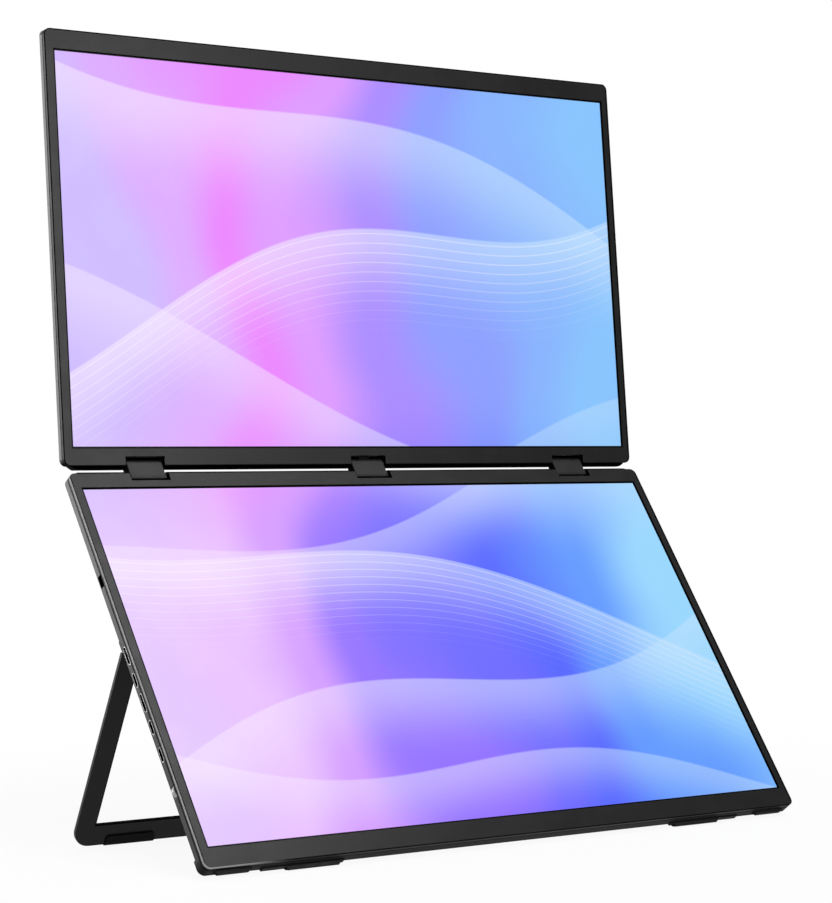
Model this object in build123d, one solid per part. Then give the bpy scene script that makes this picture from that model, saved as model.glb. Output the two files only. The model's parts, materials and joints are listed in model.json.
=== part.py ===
from build123d import *

import os
from math import cos, radians, sin

# Screens and panel outline, in millimetres
active_width = 408.96
active_height = 230.04
side_bezel = 6.52
hinge_bezel = 11.2
outer_bezel = 12.9
corner_radius = 4.0
edge_depth = 7.0
rear_chamfer = 0.8

# Front bezel
bezel_face = 0.7
bezel_depth = 2.8
bezel_wall = 1.4
bezel_round = 0.5
screen_border = 0.7
parting_groove = 0.3

# Back cover
cover_wall = 0.6
rim_gap = 0.1
rim_width = 0.8
rim_height = 1.2
upper_lip_reach = 2.2
lower_lip_reach = 2.0
lip_front = 1.5
lip_root_inset = 4.6
lip_tip_inset = 7.7

# Display module behind each bezel
cell_border = 2.0
cell_ledge = 2.5
cell_thickness = 0.9
guide_border = 1.2
guide_thickness = 1.15
tray_wall = 1.4
tray_floor = 0.25
tray_gap = 0.22
led_strip_width = 1.0

# Fold hinge: three links, each on two pins
hinge_spacing = 158.0
axis_inset = 0.6
axis_depth = 3.5
axis_distance = 8.45
notch_width = 26.0
notch_length = 5.4
notch_rear_length = 3.2
notch_wall = 0.8
link_width = 23.8
link_end_radius = 2.3
link_front = 2.1
link_rear = 3.5
link_chamfer = 0.4
link_head = 2.05
link_face_start = 0.95
link_foot = 2.11
link_foot_drop = 0.55
pin_radius = 0.9
running_clearance = 0.05
press_clearance = 0.02
washer_radius = 1.9
washer_thickness = 0.8
washer_gap = 0.1
ear_radius = 1.4
ear_thickness = 3.0
ear_clearance = 0.15
bracket_plate = 1.0
bracket_foot = 7.0
bracket_start = 2.5
bracket_length = 11.0
column_length = 2.0

# Ribbon cable through the middle link
ribbon_width = 8.0
ribbon_thickness = 0.4
ribbon_depth = 5.25
ribbon_clearance = 0.15
ribbon_overlap = 6.0

# Cover screws and small bracket screws
screw_radius = 0.75
screw_head_radius = 1.8
screw_head_height = 0.8
screw_clearance = 0.05
boss_radius = 2.0
boss_inset = 4.5
sleeve_radius = 2.4
outer_screw_spacing = 130.0
hinge_screw_offset = 80.0
blind_depth = 0.4

# Raised centre and bottom rim on the lower back cover
lower_depth = 8.6
plateau_start = 16.0
plateau_wall = 1.0
plateau_radius = 6.0
plateau_chamfer = 0.9
stow_gap = 0.6

# Kickstand: a flat U-shaped frame on two short pins
stand_inset = 1.1
stand_arm = 12.3
stand_crossbar = 14.0
stand_thickness = 2.0
stand_outer_radius = 11.0
stand_inner_radius = 2.0
stand_pivot = 113.1
stand_open_angle = 63.47
stand_lift = 0.2
stand_axis_offset = 0.55
knuckle_radius = 1.5
knuckle_length = 6.1
knuckle_gap = 0.3
stand_pin_radius = 0.8
stand_neck = 2.2
base_thickness = 0.9
base_length = 14.5
base_set_back = 2.6
base_web = 3.0
base_screw_inset = 3.0
base_side_gap = 0.5
base_boss_radius = 1.6
base_boss_height = 2.0
pad_length = 32.0
pad_start = 21.2
pad_height = 5.3
pad_corner = 2.5
pad_radius = 1.9
pad_overhang = 0.8
pocket_clearance = 0.2

# Rubber feet under the lower panel
foot_flat_front = 7.9
foot_flat_rear = 9.4
foot_contact = 6.64
foot_slant = 2.2
foot_strip = 0.7
foot_strip_start = 6.0
foot_strip_wrap = 2.4
left_foot_from_end = 38.0
right_foot_from_end = 43.0
foot_strip_length = 53.0
foot_pad_offset = 14.5
foot_pad_length = 37.0
outer_foot_start = 7.0
outer_foot_length = 24.0
outer_foot_front = 3.9
outer_foot_rear = 6.5
outer_foot_height = 1.8

# Sockets, light pipes and jog dial on the left edge, by distance from the hinge edge
socket_depth = 4.85
socket_length = 7.6
socket_recess = 0.1
socket_sheet = 0.3
socket_clearance = 0.12
mini_hdmi_width = 11.3
mini_hdmi_height = 3.0
mini_hdmi_slope = 1.5
mini_hdmi_step = 1.2
mini_hdmi_round = 0.45
usb_c_width = 9.0
usb_c_height = 3.0
mini_hdmi_tongue_width = 7.6
usb_c_tongue_width = 6.7
tongue_thickness = 0.7
tongue_length = 5.0
mini_hdmi_places = (120.1, 150.2)
usb_c_places = (135.6, 165.4, 182.6)
light_pipe_places = (111.9, 171.5)
light_pipe_depth = 5.8
light_pipe_radius = 0.5
light_pipe_length = 5.5
dial_place = 205.7
dial_radius = 4.65
dial_reach = 0.9
dial_front = 3.15
dial_thickness = 2.75
dial_travel = 0.5
dial_gap = 0.3
dial_axle_radius = 0.9
dial_cap = 0.4
dial_grooves = 24
dial_groove_radius = 0.15
carrier_thickness = 0.3
carrier_gap = 0.1
stem_width = 3.0
stem_thickness = 1.0
stem_gap = 0.4
switch_gap = 0.1
switch_tray_gap = 0.3
switch_length = 5.2
switch_width = 6.0
notch_top = 67.5
notch_bottom = 75.0
side_notch_depth = 2.0

# Main board and driver board
board_thickness = 0.8
board_width = 60.0
board_top = 109.0
board_bottom = 216.0
standoff_radius = 2.5
standoff_inset = 8.0
chip_height = 1.2
chip_places = (
    (7, 14, 14, 14),
    (29, 16, 9, 12),
    (11, 36, 8, 8),
    (25, 38, 16, 10),
    (10, 62, 12, 9),
    (29, 64, 10, 10),
)
driver_board_width = 150.0
driver_board_height = 24.0
driver_board_start = 17.0

# How the open product stands: angles from the vertical
lower_lean = 35.39
fold_from_flat = 30.75

# Sizes that follow from the ones above
panel_width = active_width + 2 * side_bezel
panel_height = active_height + hinge_bezel + outer_bezel
half_width = panel_width / 2
upper_lean = lower_lean - fold_from_flat
floor_depth = edge_depth - cover_wall
cell_front = bezel_face
cell_back = cell_front + cell_thickness
tray_back = cell_back + guide_thickness + tray_floor
cell_half = active_width / 2 + cell_border
cell_start = hinge_bezel - cell_border
cell_end = panel_height - outer_bezel + cell_ledge
guide_half = active_width / 2 + guide_border
guide_start = hinge_bezel - guide_border
guide_end = panel_height - outer_bezel + guide_border
tray_half = guide_half + tray_gap + tray_wall
tray_start = guide_start - tray_gap - tray_wall
led_start = guide_end + tray_gap / 2
tray_end = led_start + led_strip_width + tray_gap / 2 + tray_wall
hinge_places = (-hinge_spacing, 0.0, hinge_spacing)
stand_outer = half_width - stand_inset
stand_inner = stand_outer - stand_arm
stand_middle = (stand_outer + stand_inner) / 2
stand_face = edge_depth + stand_lift
stand_mid_depth = stand_face + stand_thickness / 2
stand_axis_depth = stand_mid_depth + stand_axis_offset
stand_lean = stand_open_angle - lower_lean
plateau_half = stand_inner - stow_gap
foot_base_height = panel_height * cos(radians(lower_lean)) + foot_contact


def pivot_height():
    """Height of the kickstand's pivot above the desk."""
    along = stand_pivot * cos(radians(lower_lean))
    return foot_base_height - along - stand_axis_depth * sin(radians(lower_lean))


def stand_length():
    """Distance along the kickstand from its pivot to the centre of the pads' rounded tip."""
    offset = stand_axis_offset * sin(radians(stand_lean))
    return (pivot_height() - offset - pad_radius) / cos(radians(stand_lean))


tip_place = stand_pivot + stand_length()
stand_end = tip_place + pad_overhang
crossbar_start = stand_end - stand_crossbar
rim_start = stand_end + pad_radius
plateau_end = crossbar_start - stow_gap


# Plain building blocks. Each panel is drawn flat: x runs along the hinge, y away from it,
# and z is minus the depth behind the front face.
def slab(x_low, x_high, y_low, y_high, depth_front, depth_back):
    """A box between two x, two y and two depths."""
    size = Box(x_high - x_low, y_high - y_low, depth_back - depth_front)
    middle = Pos((x_low + x_high) / 2, (y_low + y_high) / 2, -(depth_front + depth_back) / 2)
    return middle * size


def rod(x_low, x_high, y, depth, radius):
    """A round bar along x."""
    bar = Rot(0, 90, 0) * Cylinder(radius, x_high - x_low)
    return Pos((x_low + x_high) / 2, y, -depth) * bar


def post(x, y, depth_front, depth_back, radius):
    """A round post square to the panel."""
    bar = Cylinder(radius, depth_back - depth_front)
    return Pos(x, y, -(depth_front + depth_back) / 2) * bar


def profile_bar(points, x_low, x_high):
    """A bar along x whose section is a polygon of (y, depth) points."""
    outline = Polyline(*[(y, -depth) for y, depth in points], close=True)
    section = Plane.YZ.offset(x_low) * make_face(outline)
    return extrude(section, amount=x_high - x_low, dir=(1, 0, 0))


def plan_plate(points, depth_front, depth_back):
    """A plate square to the panel whose plan is a polygon of (x, y) points."""
    section = Plane.XY.offset(-depth_back) * make_face(Polyline(*points, close=True))
    return extrude(section, amount=depth_back - depth_front, dir=(0, 0, 1))


def rounded_plate(x_half, y_low, y_high, depth_front, depth_back, radius):
    """A plate with its four plan corners rounded."""
    middle = Pos(0, (y_low + y_high) / 2, -depth_back)
    outline = middle * RectangleRounded(2 * x_half, y_high - y_low, radius)
    return extrude(outline, amount=depth_back - depth_front, dir=(0, 0, 1))


def panel_plate(inset, depth_front, depth_back):
    """The panel's outline, drawn in by an inset, between two depths."""
    radius = max(corner_radius - inset, 0.5)
    return rounded_plate(half_width - inset, inset, panel_height - inset, depth_front, depth_back, radius)


# Fold hinge pockets shared by bezels and covers
def ear_outline(x_low, x_high, grow):
    """The ear that holds a pin, or with grow the room cut for it."""
    radius = ear_radius + grow
    reach = bracket_start + column_length + grow
    block = slab(x_low, x_high, axis_inset, reach, axis_depth - radius, axis_depth + radius)
    return block + rod(x_low, x_high, axis_inset, axis_depth, radius)


def hinge_room(place):
    """What bezel and cover leave out at one hinge: notch, ear rooms and pin hole."""
    half = notch_width / 2
    ear_low = half + notch_wall
    ear_high = ear_low + ear_thickness + 2 * ear_clearance
    outside = -upper_lip_reach - lower_lip_reach
    notch = slab(place - half, place + half, outside, notch_length, -1, edge_depth - cover_wall)
    rear = slab(place - half, place + half, outside, notch_rear_length, -1, edge_depth + 1)
    left = ear_outline(place - ear_high, place - ear_low, ear_clearance)
    right = ear_outline(place + ear_low, place + ear_high, ear_clearance)
    hole = rod(place - ear_low, place + ear_low, axis_inset, axis_depth, pin_radius + ear_clearance)
    return [notch, rear, left, right, hole]


def notch_block(place, depth_front, depth_back):
    """The solid that the notch is cut from, so that the notch keeps walls."""
    half = notch_width / 2 + notch_wall
    return slab(place - half, place + half, 0, notch_length + notch_wall, depth_front, depth_back)


def ribbon_slot():
    """Slot in the middle notch's wall for the ribbon cable."""
    half = ribbon_width / 2 + ribbon_clearance
    front = ribbon_depth - ribbon_thickness - ribbon_clearance
    back = ribbon_depth + ribbon_clearance
    return slab(-half, half, notch_length - 1, notch_length + notch_wall + 1, front, back)


# Screws between bezel and back cover
def screw_places():
    """Plan positions of the cover screws and whether each is on the outer edge."""
    outer = [((i - 1.5) * outer_screw_spacing, panel_height - boss_inset, True) for i in range(4)]
    hinge = [(side * hinge_screw_offset, boss_inset, False) for side in (-1, 1)]
    return outer + hinge


def screw_depth(on_outer_edge, outer_depth):
    """Depth of the cover's rear face at a screw."""
    return outer_depth if on_outer_edge else edge_depth


def cover_screws(outer_depth):
    """The screws that hold a back cover to its bezel."""
    screws = []
    for x, y, on_outer_edge in screw_places():
        depth = screw_depth(on_outer_edge, outer_depth)
        seat = depth - screw_head_height
        head = post(x, y, seat, depth, screw_head_radius)
        shank = post(x, y, bezel_face + 0.5, seat, screw_radius)
        slot = slab(x - screw_head_radius, x + screw_head_radius, y - 0.25, y + 0.25, depth - 0.3, depth + 1)
        screws.append(head + shank - slot)
    return Compound(children=screws)


# Pieces of one panel
def front_bezel():
    """Thin face frame with a short side wall and a window for the screen."""
    plate = panel_plate(0, 0, bezel_depth)
    front_edges = plate.faces().sort_by(Axis.Z)[-1].edges()
    plate = fillet(front_edges, bezel_round)
    groove_edges = plate.faces().sort_by(Axis.Z)[0].edges()
    plate = chamfer(groove_edges, parting_groove)
    room = panel_plate(bezel_wall, bezel_face, bezel_depth + 1)
    for place in hinge_places:
        room = room - notch_block(place, 0, bezel_depth + 1)
    for x, y, _ in screw_places():
        room = room - post(x, y, 0, bezel_depth + 1, boss_radius)
    window = slab(
        -active_width / 2 - screen_border,
        active_width / 2 + screen_border,
        hinge_bezel - screen_border,
        hinge_bezel + active_height + screen_border,
        -1,
        bezel_face + 1,
    )
    frame = plate - room - window
    for place in hinge_places:
        frame = frame - hinge_room(place)
    for x, y, _ in screw_places():
        frame = frame - post(x, y, bezel_face + 0.3, bezel_depth + 1, screw_radius + screw_clearance)
    return frame


def cover_lip(reach):
    """Ridge along the hinge edge, with slanted ends, that nearly closes the gap between the panels."""
    root = half_width - lip_root_inset
    tip = half_width - lip_tip_inset
    outer_edge = [(-tip, -reach), (tip, -reach)]
    seated = [(root, 0), (root, bezel_wall), (-root, bezel_wall), (-root, 0)]
    free = [(root, -rim_gap), (-root, -rim_gap)]
    ridge = plan_plate(outer_edge + seated, bezel_depth, edge_depth)
    ridge = ridge + plan_plate(outer_edge + free, lip_front, bezel_depth)
    tip_edges = ridge.edges().filter_by(Axis.X).group_by(Axis.Y)[0]
    return chamfer(tip_edges, rear_chamfer)


def cover_shell(outer, outer_depth, extra_room, lip_reach):
    """Turns a cover's outer solid into a shell with rim, notches and screw sleeves."""
    room = panel_plate(bezel_wall, bezel_depth - 1, floor_depth)
    for place in hinge_places:
        room = room - notch_block(place, bezel_depth - 1, edge_depth)
    room = room + extra_room
    for x, y, on_outer_edge in screw_places():
        room = room - post(x, y, bezel_depth - 1, outer_depth, sleeve_radius)
    rim = panel_plate(bezel_wall + rim_gap, bezel_depth - rim_height, bezel_depth)
    rim = rim - panel_plate(bezel_wall + rim_gap + rim_width, 0, bezel_depth + 1)
    for place in hinge_places:
        wall_half = notch_width / 2 + notch_wall + rim_gap
        rim = rim - slab(place - wall_half, place + wall_half, 0, 2 * bezel_wall + rim_width, 0, bezel_depth)
    shell = outer - room + rim + cover_lip(lip_reach)
    for place in hinge_places:
        shell = shell - hinge_room(place)
    shell = shell - ribbon_slot()
    for x, y, on_outer_edge in screw_places():
        depth = screw_depth(on_outer_edge, outer_depth)
        shell = shell - post(x, y, bezel_depth - 1, depth + 1, screw_radius + screw_clearance)
        seat = depth - screw_head_height
        shell = shell - post(x, y, seat, depth + 1, screw_head_radius + 2 * screw_clearance)
    return shell


def bracket_screw_places():
    """Plan positions of the two screws of each hinge bracket."""
    reach = notch_width / 2 + notch_wall + ear_clearance + ear_thickness + bracket_foot / 2
    y = bracket_start + bracket_length - bracket_foot / 2
    return [(place + side * reach, y) for place in hinge_places for side in (-1, 1)]


def bracket_pilots():
    """Blind holes in a cover's floor for the bracket screws."""
    radius = screw_radius + screw_clearance
    return [post(x, y, floor_depth - 1, floor_depth + blind_depth, radius) for x, y in bracket_screw_places()]


def upper_back_cover():
    """Plain flat back cover of the upper panel."""
    outer = panel_plate(0, bezel_depth, edge_depth)
    outer = chamfer(outer.faces().sort_by(Axis.Z)[0].edges(), rear_chamfer)
    outer = chamfer(outer.faces().sort_by(Axis.Z)[-1].edges(), parting_groove)
    return cover_shell(outer, edge_depth, [], upper_lip_reach) - bracket_pilots()


def lcd_cell():
    """Glass sandwich of the display, wider at the edge that carries its driver chips."""
    return slab(-cell_half, cell_half, cell_start, cell_end, cell_front, cell_back)


def light_guide():
    """Clear plate and films that spread the backlight."""
    return slab(-guide_half, guide_half, guide_start, guide_end, cell_back, cell_back + guide_thickness)


def led_strip():
    """Row of light-emitting diodes on a thin strip along the guide's outer edge."""
    strip_end = led_start + led_strip_width
    return slab(-guide_half, guide_half, led_start, strip_end, cell_back, cell_back + guide_thickness)


def backlight_tray():
    """Pressed tray that holds the light guide and the diodes behind the cell."""
    outer = slab(-tray_half, tray_half, tray_start, tray_end, cell_back, tray_back)
    inner_half = tray_half - tray_wall
    inner_back = cell_back + guide_thickness
    room = slab(-inner_half, inner_half, tray_start + tray_wall, tray_end - tray_wall, 0, inner_back)
    return outer - room


def hinge_bracket(place):
    """Steel bracket on the cover's floor, with an ear for the pin on each side of the notch."""
    ear_low = notch_width / 2 + notch_wall + ear_clearance
    ear_high = ear_low + ear_thickness
    plate_front = floor_depth - bracket_plate
    plate_end = bracket_start + bracket_length
    bridge_start = notch_length + notch_wall + ear_clearance
    reach = ear_high + bracket_foot
    bracket = slab(place - reach, place + reach, bridge_start, plate_end, plate_front, floor_depth)
    for side in (-1, 1):
        low, high = sorted((place + side * ear_low, place + side * ear_high))
        foot_low, foot_high = sorted((place + side * ear_low, place + side * reach))
        bracket = bracket + slab(foot_low, foot_high, bracket_start, plate_end, plate_front, floor_depth)
        column_end = bracket_start + column_length
        bracket = bracket + slab(low, high, bracket_start, column_end, axis_depth, floor_depth)
        bracket = bracket + ear_outline(low, high, 0)
    bore = rod(place - reach, place + reach, axis_inset, axis_depth, pin_radius + running_clearance)
    holes = [post(x, y, 0, edge_depth, screw_radius + screw_clearance) for x, y in bracket_screw_places()]
    return bracket - bore - holes


def small_screw(x, y, seat, clamped):
    """Pan-head screw with its head in front of the seat and its shank behind it."""
    head = post(x, y, seat - screw_head_height, seat, screw_head_radius)
    shank = post(x, y, seat, seat + clamped + blind_depth - screw_clearance, screw_radius)
    top = seat - screw_head_height
    slot = slab(x - screw_head_radius, x + screw_head_radius, y - 0.25, y + 0.25, top - 1, top + 0.3)
    return head + shank - slot


def bracket_screws():
    """Screws that hold the hinge brackets to a cover."""
    return [small_screw(x, y, floor_depth - bracket_plate, bracket_plate) for x, y in bracket_screw_places()]


def driver_board():
    """Small board that feeds the upper display, on the cover's floor behind the module."""
    half = driver_board_width / 2
    end = driver_board_start + driver_board_height
    return slab(-half, half, driver_board_start, end, ribbon_depth, floor_depth)


def upper_ribbon():
    """Ribbon cable from the middle notch onto the driver board."""
    half = ribbon_width / 2
    front = ribbon_depth - ribbon_thickness
    start = notch_rear_length + ribbon_clearance
    return slab(-half, half, start, driver_board_start + ribbon_overlap, front, ribbon_depth)


# Lower panel
def from_end(side, start, length):
    """The x range of a piece that starts a distance in from one end of the panel."""
    outer = side * (half_width - start)
    inner = side * (half_width - start - length)
    return sorted((outer, inner))


def pad_range(side):
    """The x range of one kickstand pad."""
    return from_end(side, stand_inset + pad_start, pad_length)


def lower_back_cover():
    """Back cover with a raised centre inside the stowed kickstand and a raised bottom rim."""
    base = panel_plate(0, bezel_depth, edge_depth)
    base = chamfer(base.faces().sort_by(Axis.Z)[-1].edges(), parting_groove)
    plateau = rounded_plate(plateau_half, plateau_start, plateau_end, edge_depth, lower_depth, plateau_radius)
    plateau = chamfer(plateau.faces().sort_by(Axis.Z)[0].edges(), plateau_chamfer)
    rim = panel_plate(0, edge_depth, lower_depth)
    rim = rim & slab(-half_width, half_width, rim_start, panel_height, 0, lower_depth)
    inner_half = plateau_half - plateau_wall
    plateau_room = slab(
        -inner_half,
        inner_half,
        plateau_start + plateau_wall,
        plateau_end - plateau_wall,
        floor_depth - 1,
        lower_depth - cover_wall,
    )
    notch_inside = slab(
        -half_width,
        -half_width + side_notch_depth + cover_wall,
        notch_top - cover_wall,
        notch_bottom + cover_wall,
        bezel_depth,
        edge_depth,
    )
    shell = cover_shell(base + plateau + rim, lower_depth, plateau_room, lower_lip_reach) + notch_inside
    for x, y in stand_screw_places():
        boss_front = floor_depth - base_boss_height
        for side in (-1, 1):
            shell = shell + post(side * x, y, boss_front, floor_depth, base_boss_radius)
    recess_end = -half_width + side_notch_depth
    shell = shell - slab(-half_width - 1, recess_end, notch_top, notch_bottom, bezel_depth, floor_depth)
    for side in (-1, 1):
        low, high = pad_range(side)
        pad_inner_face = stand_mid_depth - pad_radius
        pocket_depth = pad_inner_face - pocket_clearance
        low = low - 2 * pocket_clearance
        high = high + 2 * pocket_clearance
        start = tip_place - pad_height - pocket_clearance
        wall = cover_wall
        block = slab(low - wall, high + wall, start - wall, rim_start + wall, pocket_depth - wall, edge_depth)
        cut = slab(low, high, start, rim_start, pocket_depth, edge_depth + 1)
        shell = shell + block - cut
    for x, y in standoff_places():
        shell = shell + post(x, y, board_back(), lower_depth - cover_wall, standoff_radius)
    for cut in edge_cuts():
        shell = shell - cut
    return shell - bracket_pilots() - stand_base_pilots()


def board_back():
    """Depth of the main board's rear face."""
    return ribbon_depth + board_thickness


def board_left():
    """The x of the main board's left edge, where the sockets end."""
    return -half_width + socket_recess + socket_length


def standoff_places():
    """Plan positions of the posts that carry the main board."""
    left = -plateau_half + plateau_wall + standoff_radius + 1
    right = board_left() + board_width - standoff_inset
    rows = (board_top + standoff_inset, board_bottom - standoff_inset)
    return [(x, y) for x in (left, right) for y in rows]


def dial_centre():
    """The x of the jog dial's axle."""
    return -half_width - dial_reach + dial_radius


def switch_left():
    """The x of the jog switch's actuator face."""
    return dial_centre() + dial_radius + stem_gap + stem_thickness + dial_travel + switch_gap


def socket_outline(width, height, grow, is_mini_hdmi, y):
    """Section of a socket across its mouth, as a face on the panel's left edge."""
    w = width / 2 + grow
    h = height / 2 + grow
    if is_mini_hdmi:
        corner = w - mini_hdmi_slope
        step = h - height + mini_hdmi_step
        points = [(-w, h), (w, h), (w, step), (corner, -h), (-corner, -h), (-w, step)]
        face = fillet(make_face(Polyline(*points, close=True)).vertices(), mini_hdmi_round)
    else:
        face = SlotOverall(2 * w, 2 * h)
    return Pos(y, -socket_depth) * face


def socket_solid(width, height, grow, is_mini_hdmi, y, x_low, x_high):
    """A socket's section run between two x."""
    section = Plane.YZ.offset(x_low) * socket_outline(width, height, grow, is_mini_hdmi, y)
    return extrude(section, amount=x_high - x_low, dir=(1, 0, 0))


def socket(y, width, height, is_mini_hdmi):
    """Bent sheet shell of a socket, open at the mouth and closed behind."""
    mouth = -half_width + socket_recess
    back = mouth + socket_length
    outside = socket_solid(width, height, 0, is_mini_hdmi, y, mouth, back)
    inside = socket_solid(width, height, -socket_sheet, is_mini_hdmi, y, mouth - 1, back - socket_sheet)
    return outside - inside


def tongue(y, width):
    """Contact tongue inside a socket."""
    back = -half_width + socket_recess + socket_length - socket_sheet
    front = socket_depth - tongue_thickness / 2
    rear = socket_depth + tongue_thickness / 2
    return slab(back - tongue_length, back, y - width / 2, y + width / 2, front, rear)


def socket_tongues():
    """The tongues of all five sockets."""
    mini = [tongue(y, mini_hdmi_tongue_width) for y in mini_hdmi_places]
    usb = [tongue(y, usb_c_tongue_width) for y in usb_c_places]
    return Compound(children=mini + usb)


def light_pipes():
    """Two thin clear rods that carry the status lights to the edge."""
    low = -half_width + socket_recess
    high = low + light_pipe_length
    rods = [rod(low, high, y, light_pipe_depth, light_pipe_radius) for y in light_pipe_places]
    return Compound(children=rods)


def edge_cuts():
    """Holes in the left wall for sockets, light pipes and jog dial."""
    low = -half_width - 1
    high = -half_width + bezel_wall + 0.5
    cuts = []
    for y in mini_hdmi_places:
        cuts.append(socket_solid(mini_hdmi_width, mini_hdmi_height, socket_clearance, True, y, low, high))
    for y in usb_c_places:
        cuts.append(socket_solid(usb_c_width, usb_c_height, socket_clearance, False, y, low, high))
    for y in light_pipe_places:
        cuts.append(rod(low, high, y, light_pipe_depth, light_pipe_radius + screw_clearance))
    dial_back = dial_front + dial_thickness
    radius = dial_radius + dial_gap
    around = post(dial_centre(), dial_place, dial_front - 0.2, dial_back + 0.1, radius)
    cuts.append(around & slab(low, high, dial_place - radius, dial_place + radius, 0, edge_depth))
    return cuts


def main_board():
    """Circuit board behind the sockets, cut out around the jog dial."""
    left = board_left()
    right = left + board_width
    board = slab(left, right, board_top, board_bottom, ribbon_depth, board_back())
    clear = dial_radius + dial_gap + 1
    cutout = slab(left - 1, switch_left() + 0.2, dial_place - clear, dial_place + clear, 0, lower_depth)
    return board - cutout


def board_chips():
    """Scaler, power and memory packages on the back of the main board."""
    left = -plateau_half + plateau_wall + 1
    back = board_back() + chip_height
    chips = []
    for x_offset, y_offset, width, height in chip_places:
        x = left + x_offset
        y = board_top + y_offset
        chips.append(slab(x, x + width, y, y + height, board_back(), back))
    return Compound(children=chips)


def jog_switch():
    """Switch that the jog dial's carrier presses."""
    left = switch_left()
    low = dial_place - switch_width / 2
    high = dial_place + switch_width / 2
    return slab(left, left + switch_length, low, high, tray_back + switch_tray_gap, ribbon_depth)


def jog_carrier():
    """Sliding plate under the dial with its axle and the stem that reaches the switch."""
    plate_front = dial_front + dial_thickness + carrier_gap
    plate_back = plate_front + carrier_thickness
    left = dial_centre() - dial_axle_radius - 0.6
    right = dial_centre() + dial_radius + stem_gap + stem_thickness
    low = dial_place - stem_width / 2
    high = dial_place + stem_width / 2
    plate = slab(left, right, low, high, plate_front, plate_back)
    axle = post(dial_centre(), dial_place, dial_front + dial_cap, plate_front, dial_axle_radius)
    stem = slab(right - stem_thickness, right, low, high, dial_front + 2 * dial_cap, plate_front)
    return plate + axle + stem


def jog_dial():
    """Small grooved dial that stands a little out of the left edge."""
    back = dial_front + dial_thickness
    disc = post(dial_centre(), dial_place, dial_front, back, dial_radius)
    disc = chamfer(disc.edges(), 0.3)
    bore_radius = dial_axle_radius + running_clearance
    bore = post(dial_centre(), dial_place, dial_front + dial_cap - running_clearance, back, bore_radius)
    disc = disc - bore
    for i in range(dial_grooves):
        around = Pos(dial_centre(), dial_place, 0) * Rot(0, 0, i * 360 / dial_grooves)
        disc = disc - around * post(dial_radius, 0, dial_front, back, dial_groove_radius)
    return disc


def lower_ribbon():
    """Ribbon cable from the main board to the middle notch, folded once to turn the corner."""
    half = ribbon_width / 2
    front = ribbon_depth - ribbon_thickness
    board_end = board_left() + board_width
    run_start = board_end - ribbon_overlap
    run_place = board_top + ribbon_width
    along = slab(run_start, half, run_place - half, run_place + half, front, ribbon_depth)
    up = slab(-half, half, notch_rear_length + ribbon_clearance, run_place + half, front, ribbon_depth)
    return along + up


# Rubber feet
def slanted_bar(points, x_low, x_high, start, end):
    """A profile bar whose two ends slope inwards between two distances y."""
    outline = [(x_low, start), (x_high, start), (x_high - foot_slant, end), (x_low + foot_slant, end)]
    return profile_bar(points, x_low, x_high) & plan_plate(outline, 0, 2 * lower_depth)


def foot_reach(depth):
    """How far the foot's flat stands below the panel's bottom edge at a depth."""
    return (foot_contact - depth * sin(radians(lower_lean))) / cos(radians(lower_lean))


def inner_foot(side):
    """Rubber foot on the rear bottom corner: a long strip with a raised pad cut flat for the desk."""
    edge = panel_height
    start = right_foot_from_end if side > 0 else left_foot_from_end
    strip_low, strip_high = from_end(side, start, foot_strip_length)
    pad_low, pad_high = from_end(side, start + foot_pad_offset, foot_pad_length)
    strip_back = lower_depth + foot_strip
    strip_points = [
        (edge, foot_strip_start),
        (edge + foot_strip, foot_strip_start),
        (edge + foot_strip, strip_back),
        (edge - foot_strip_wrap, strip_back),
        (edge - foot_strip_wrap, lower_depth),
        (edge, lower_depth),
    ]
    strip = profile_bar(strip_points, strip_low, strip_high)
    front_reach = foot_reach(foot_flat_front)
    rear_reach = foot_reach(foot_flat_rear)
    pad_points = [
        (edge, foot_strip_start),
        (edge + front_reach, foot_flat_front - 0.9),
        (edge + front_reach, foot_flat_front),
        (edge + rear_reach, foot_flat_rear),
        (edge, foot_flat_rear),
    ]
    pad = slanted_bar(pad_points, pad_low, pad_high, edge, edge + front_reach)
    return strip + pad


def outer_foot(side):
    """Small rubber foot near the end of the bottom edge, used when the panel stands steeper."""
    low, high = from_end(side, outer_foot_start, outer_foot_length)
    edge = panel_height
    tip = edge + outer_foot_height
    points = [
        (edge, outer_foot_front),
        (tip, outer_foot_front + 0.4),
        (tip, outer_foot_rear - 0.2),
        (edge, outer_foot_rear),
    ]
    return slanted_bar(points, low, high, edge, tip)


# Kickstand, drawn stowed against the lower panel's back
def stand_frame():
    """Flat metal U: two arms, a crossbar and a hinge knuckle at the top of each arm."""
    top = stand_pivot + stand_neck
    back = stand_face + stand_thickness
    plate = slab(-stand_outer, stand_outer, top, stand_end, stand_face, back)
    outer_edges = plate.edges().filter_by(Axis.Z).group_by(Axis.Y)[-1]
    plate = fillet(outer_edges, stand_outer_radius)
    window = slab(-stand_inner, stand_inner, top - 1, crossbar_start, stand_face - 1, back + 1)
    inner_edges = window.edges().filter_by(Axis.Z).group_by(Axis.Y)[-1]
    plate = plate - fillet(inner_edges, stand_inner_radius)
    bore_radius = stand_pin_radius + press_clearance
    for side in (-1, 1):
        low = side * stand_middle - knuckle_length / 2
        high = side * stand_middle + knuckle_length / 2
        neck = slab(low, high, stand_pivot, top + 0.5, stand_face, back)
        barrel = rod(low, high, stand_pivot, stand_axis_depth, knuckle_radius)
        bore = rod(low - 1, high + 1, stand_pivot, stand_axis_depth, bore_radius)
        plate = plate + neck + barrel - bore
    return plate


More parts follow.
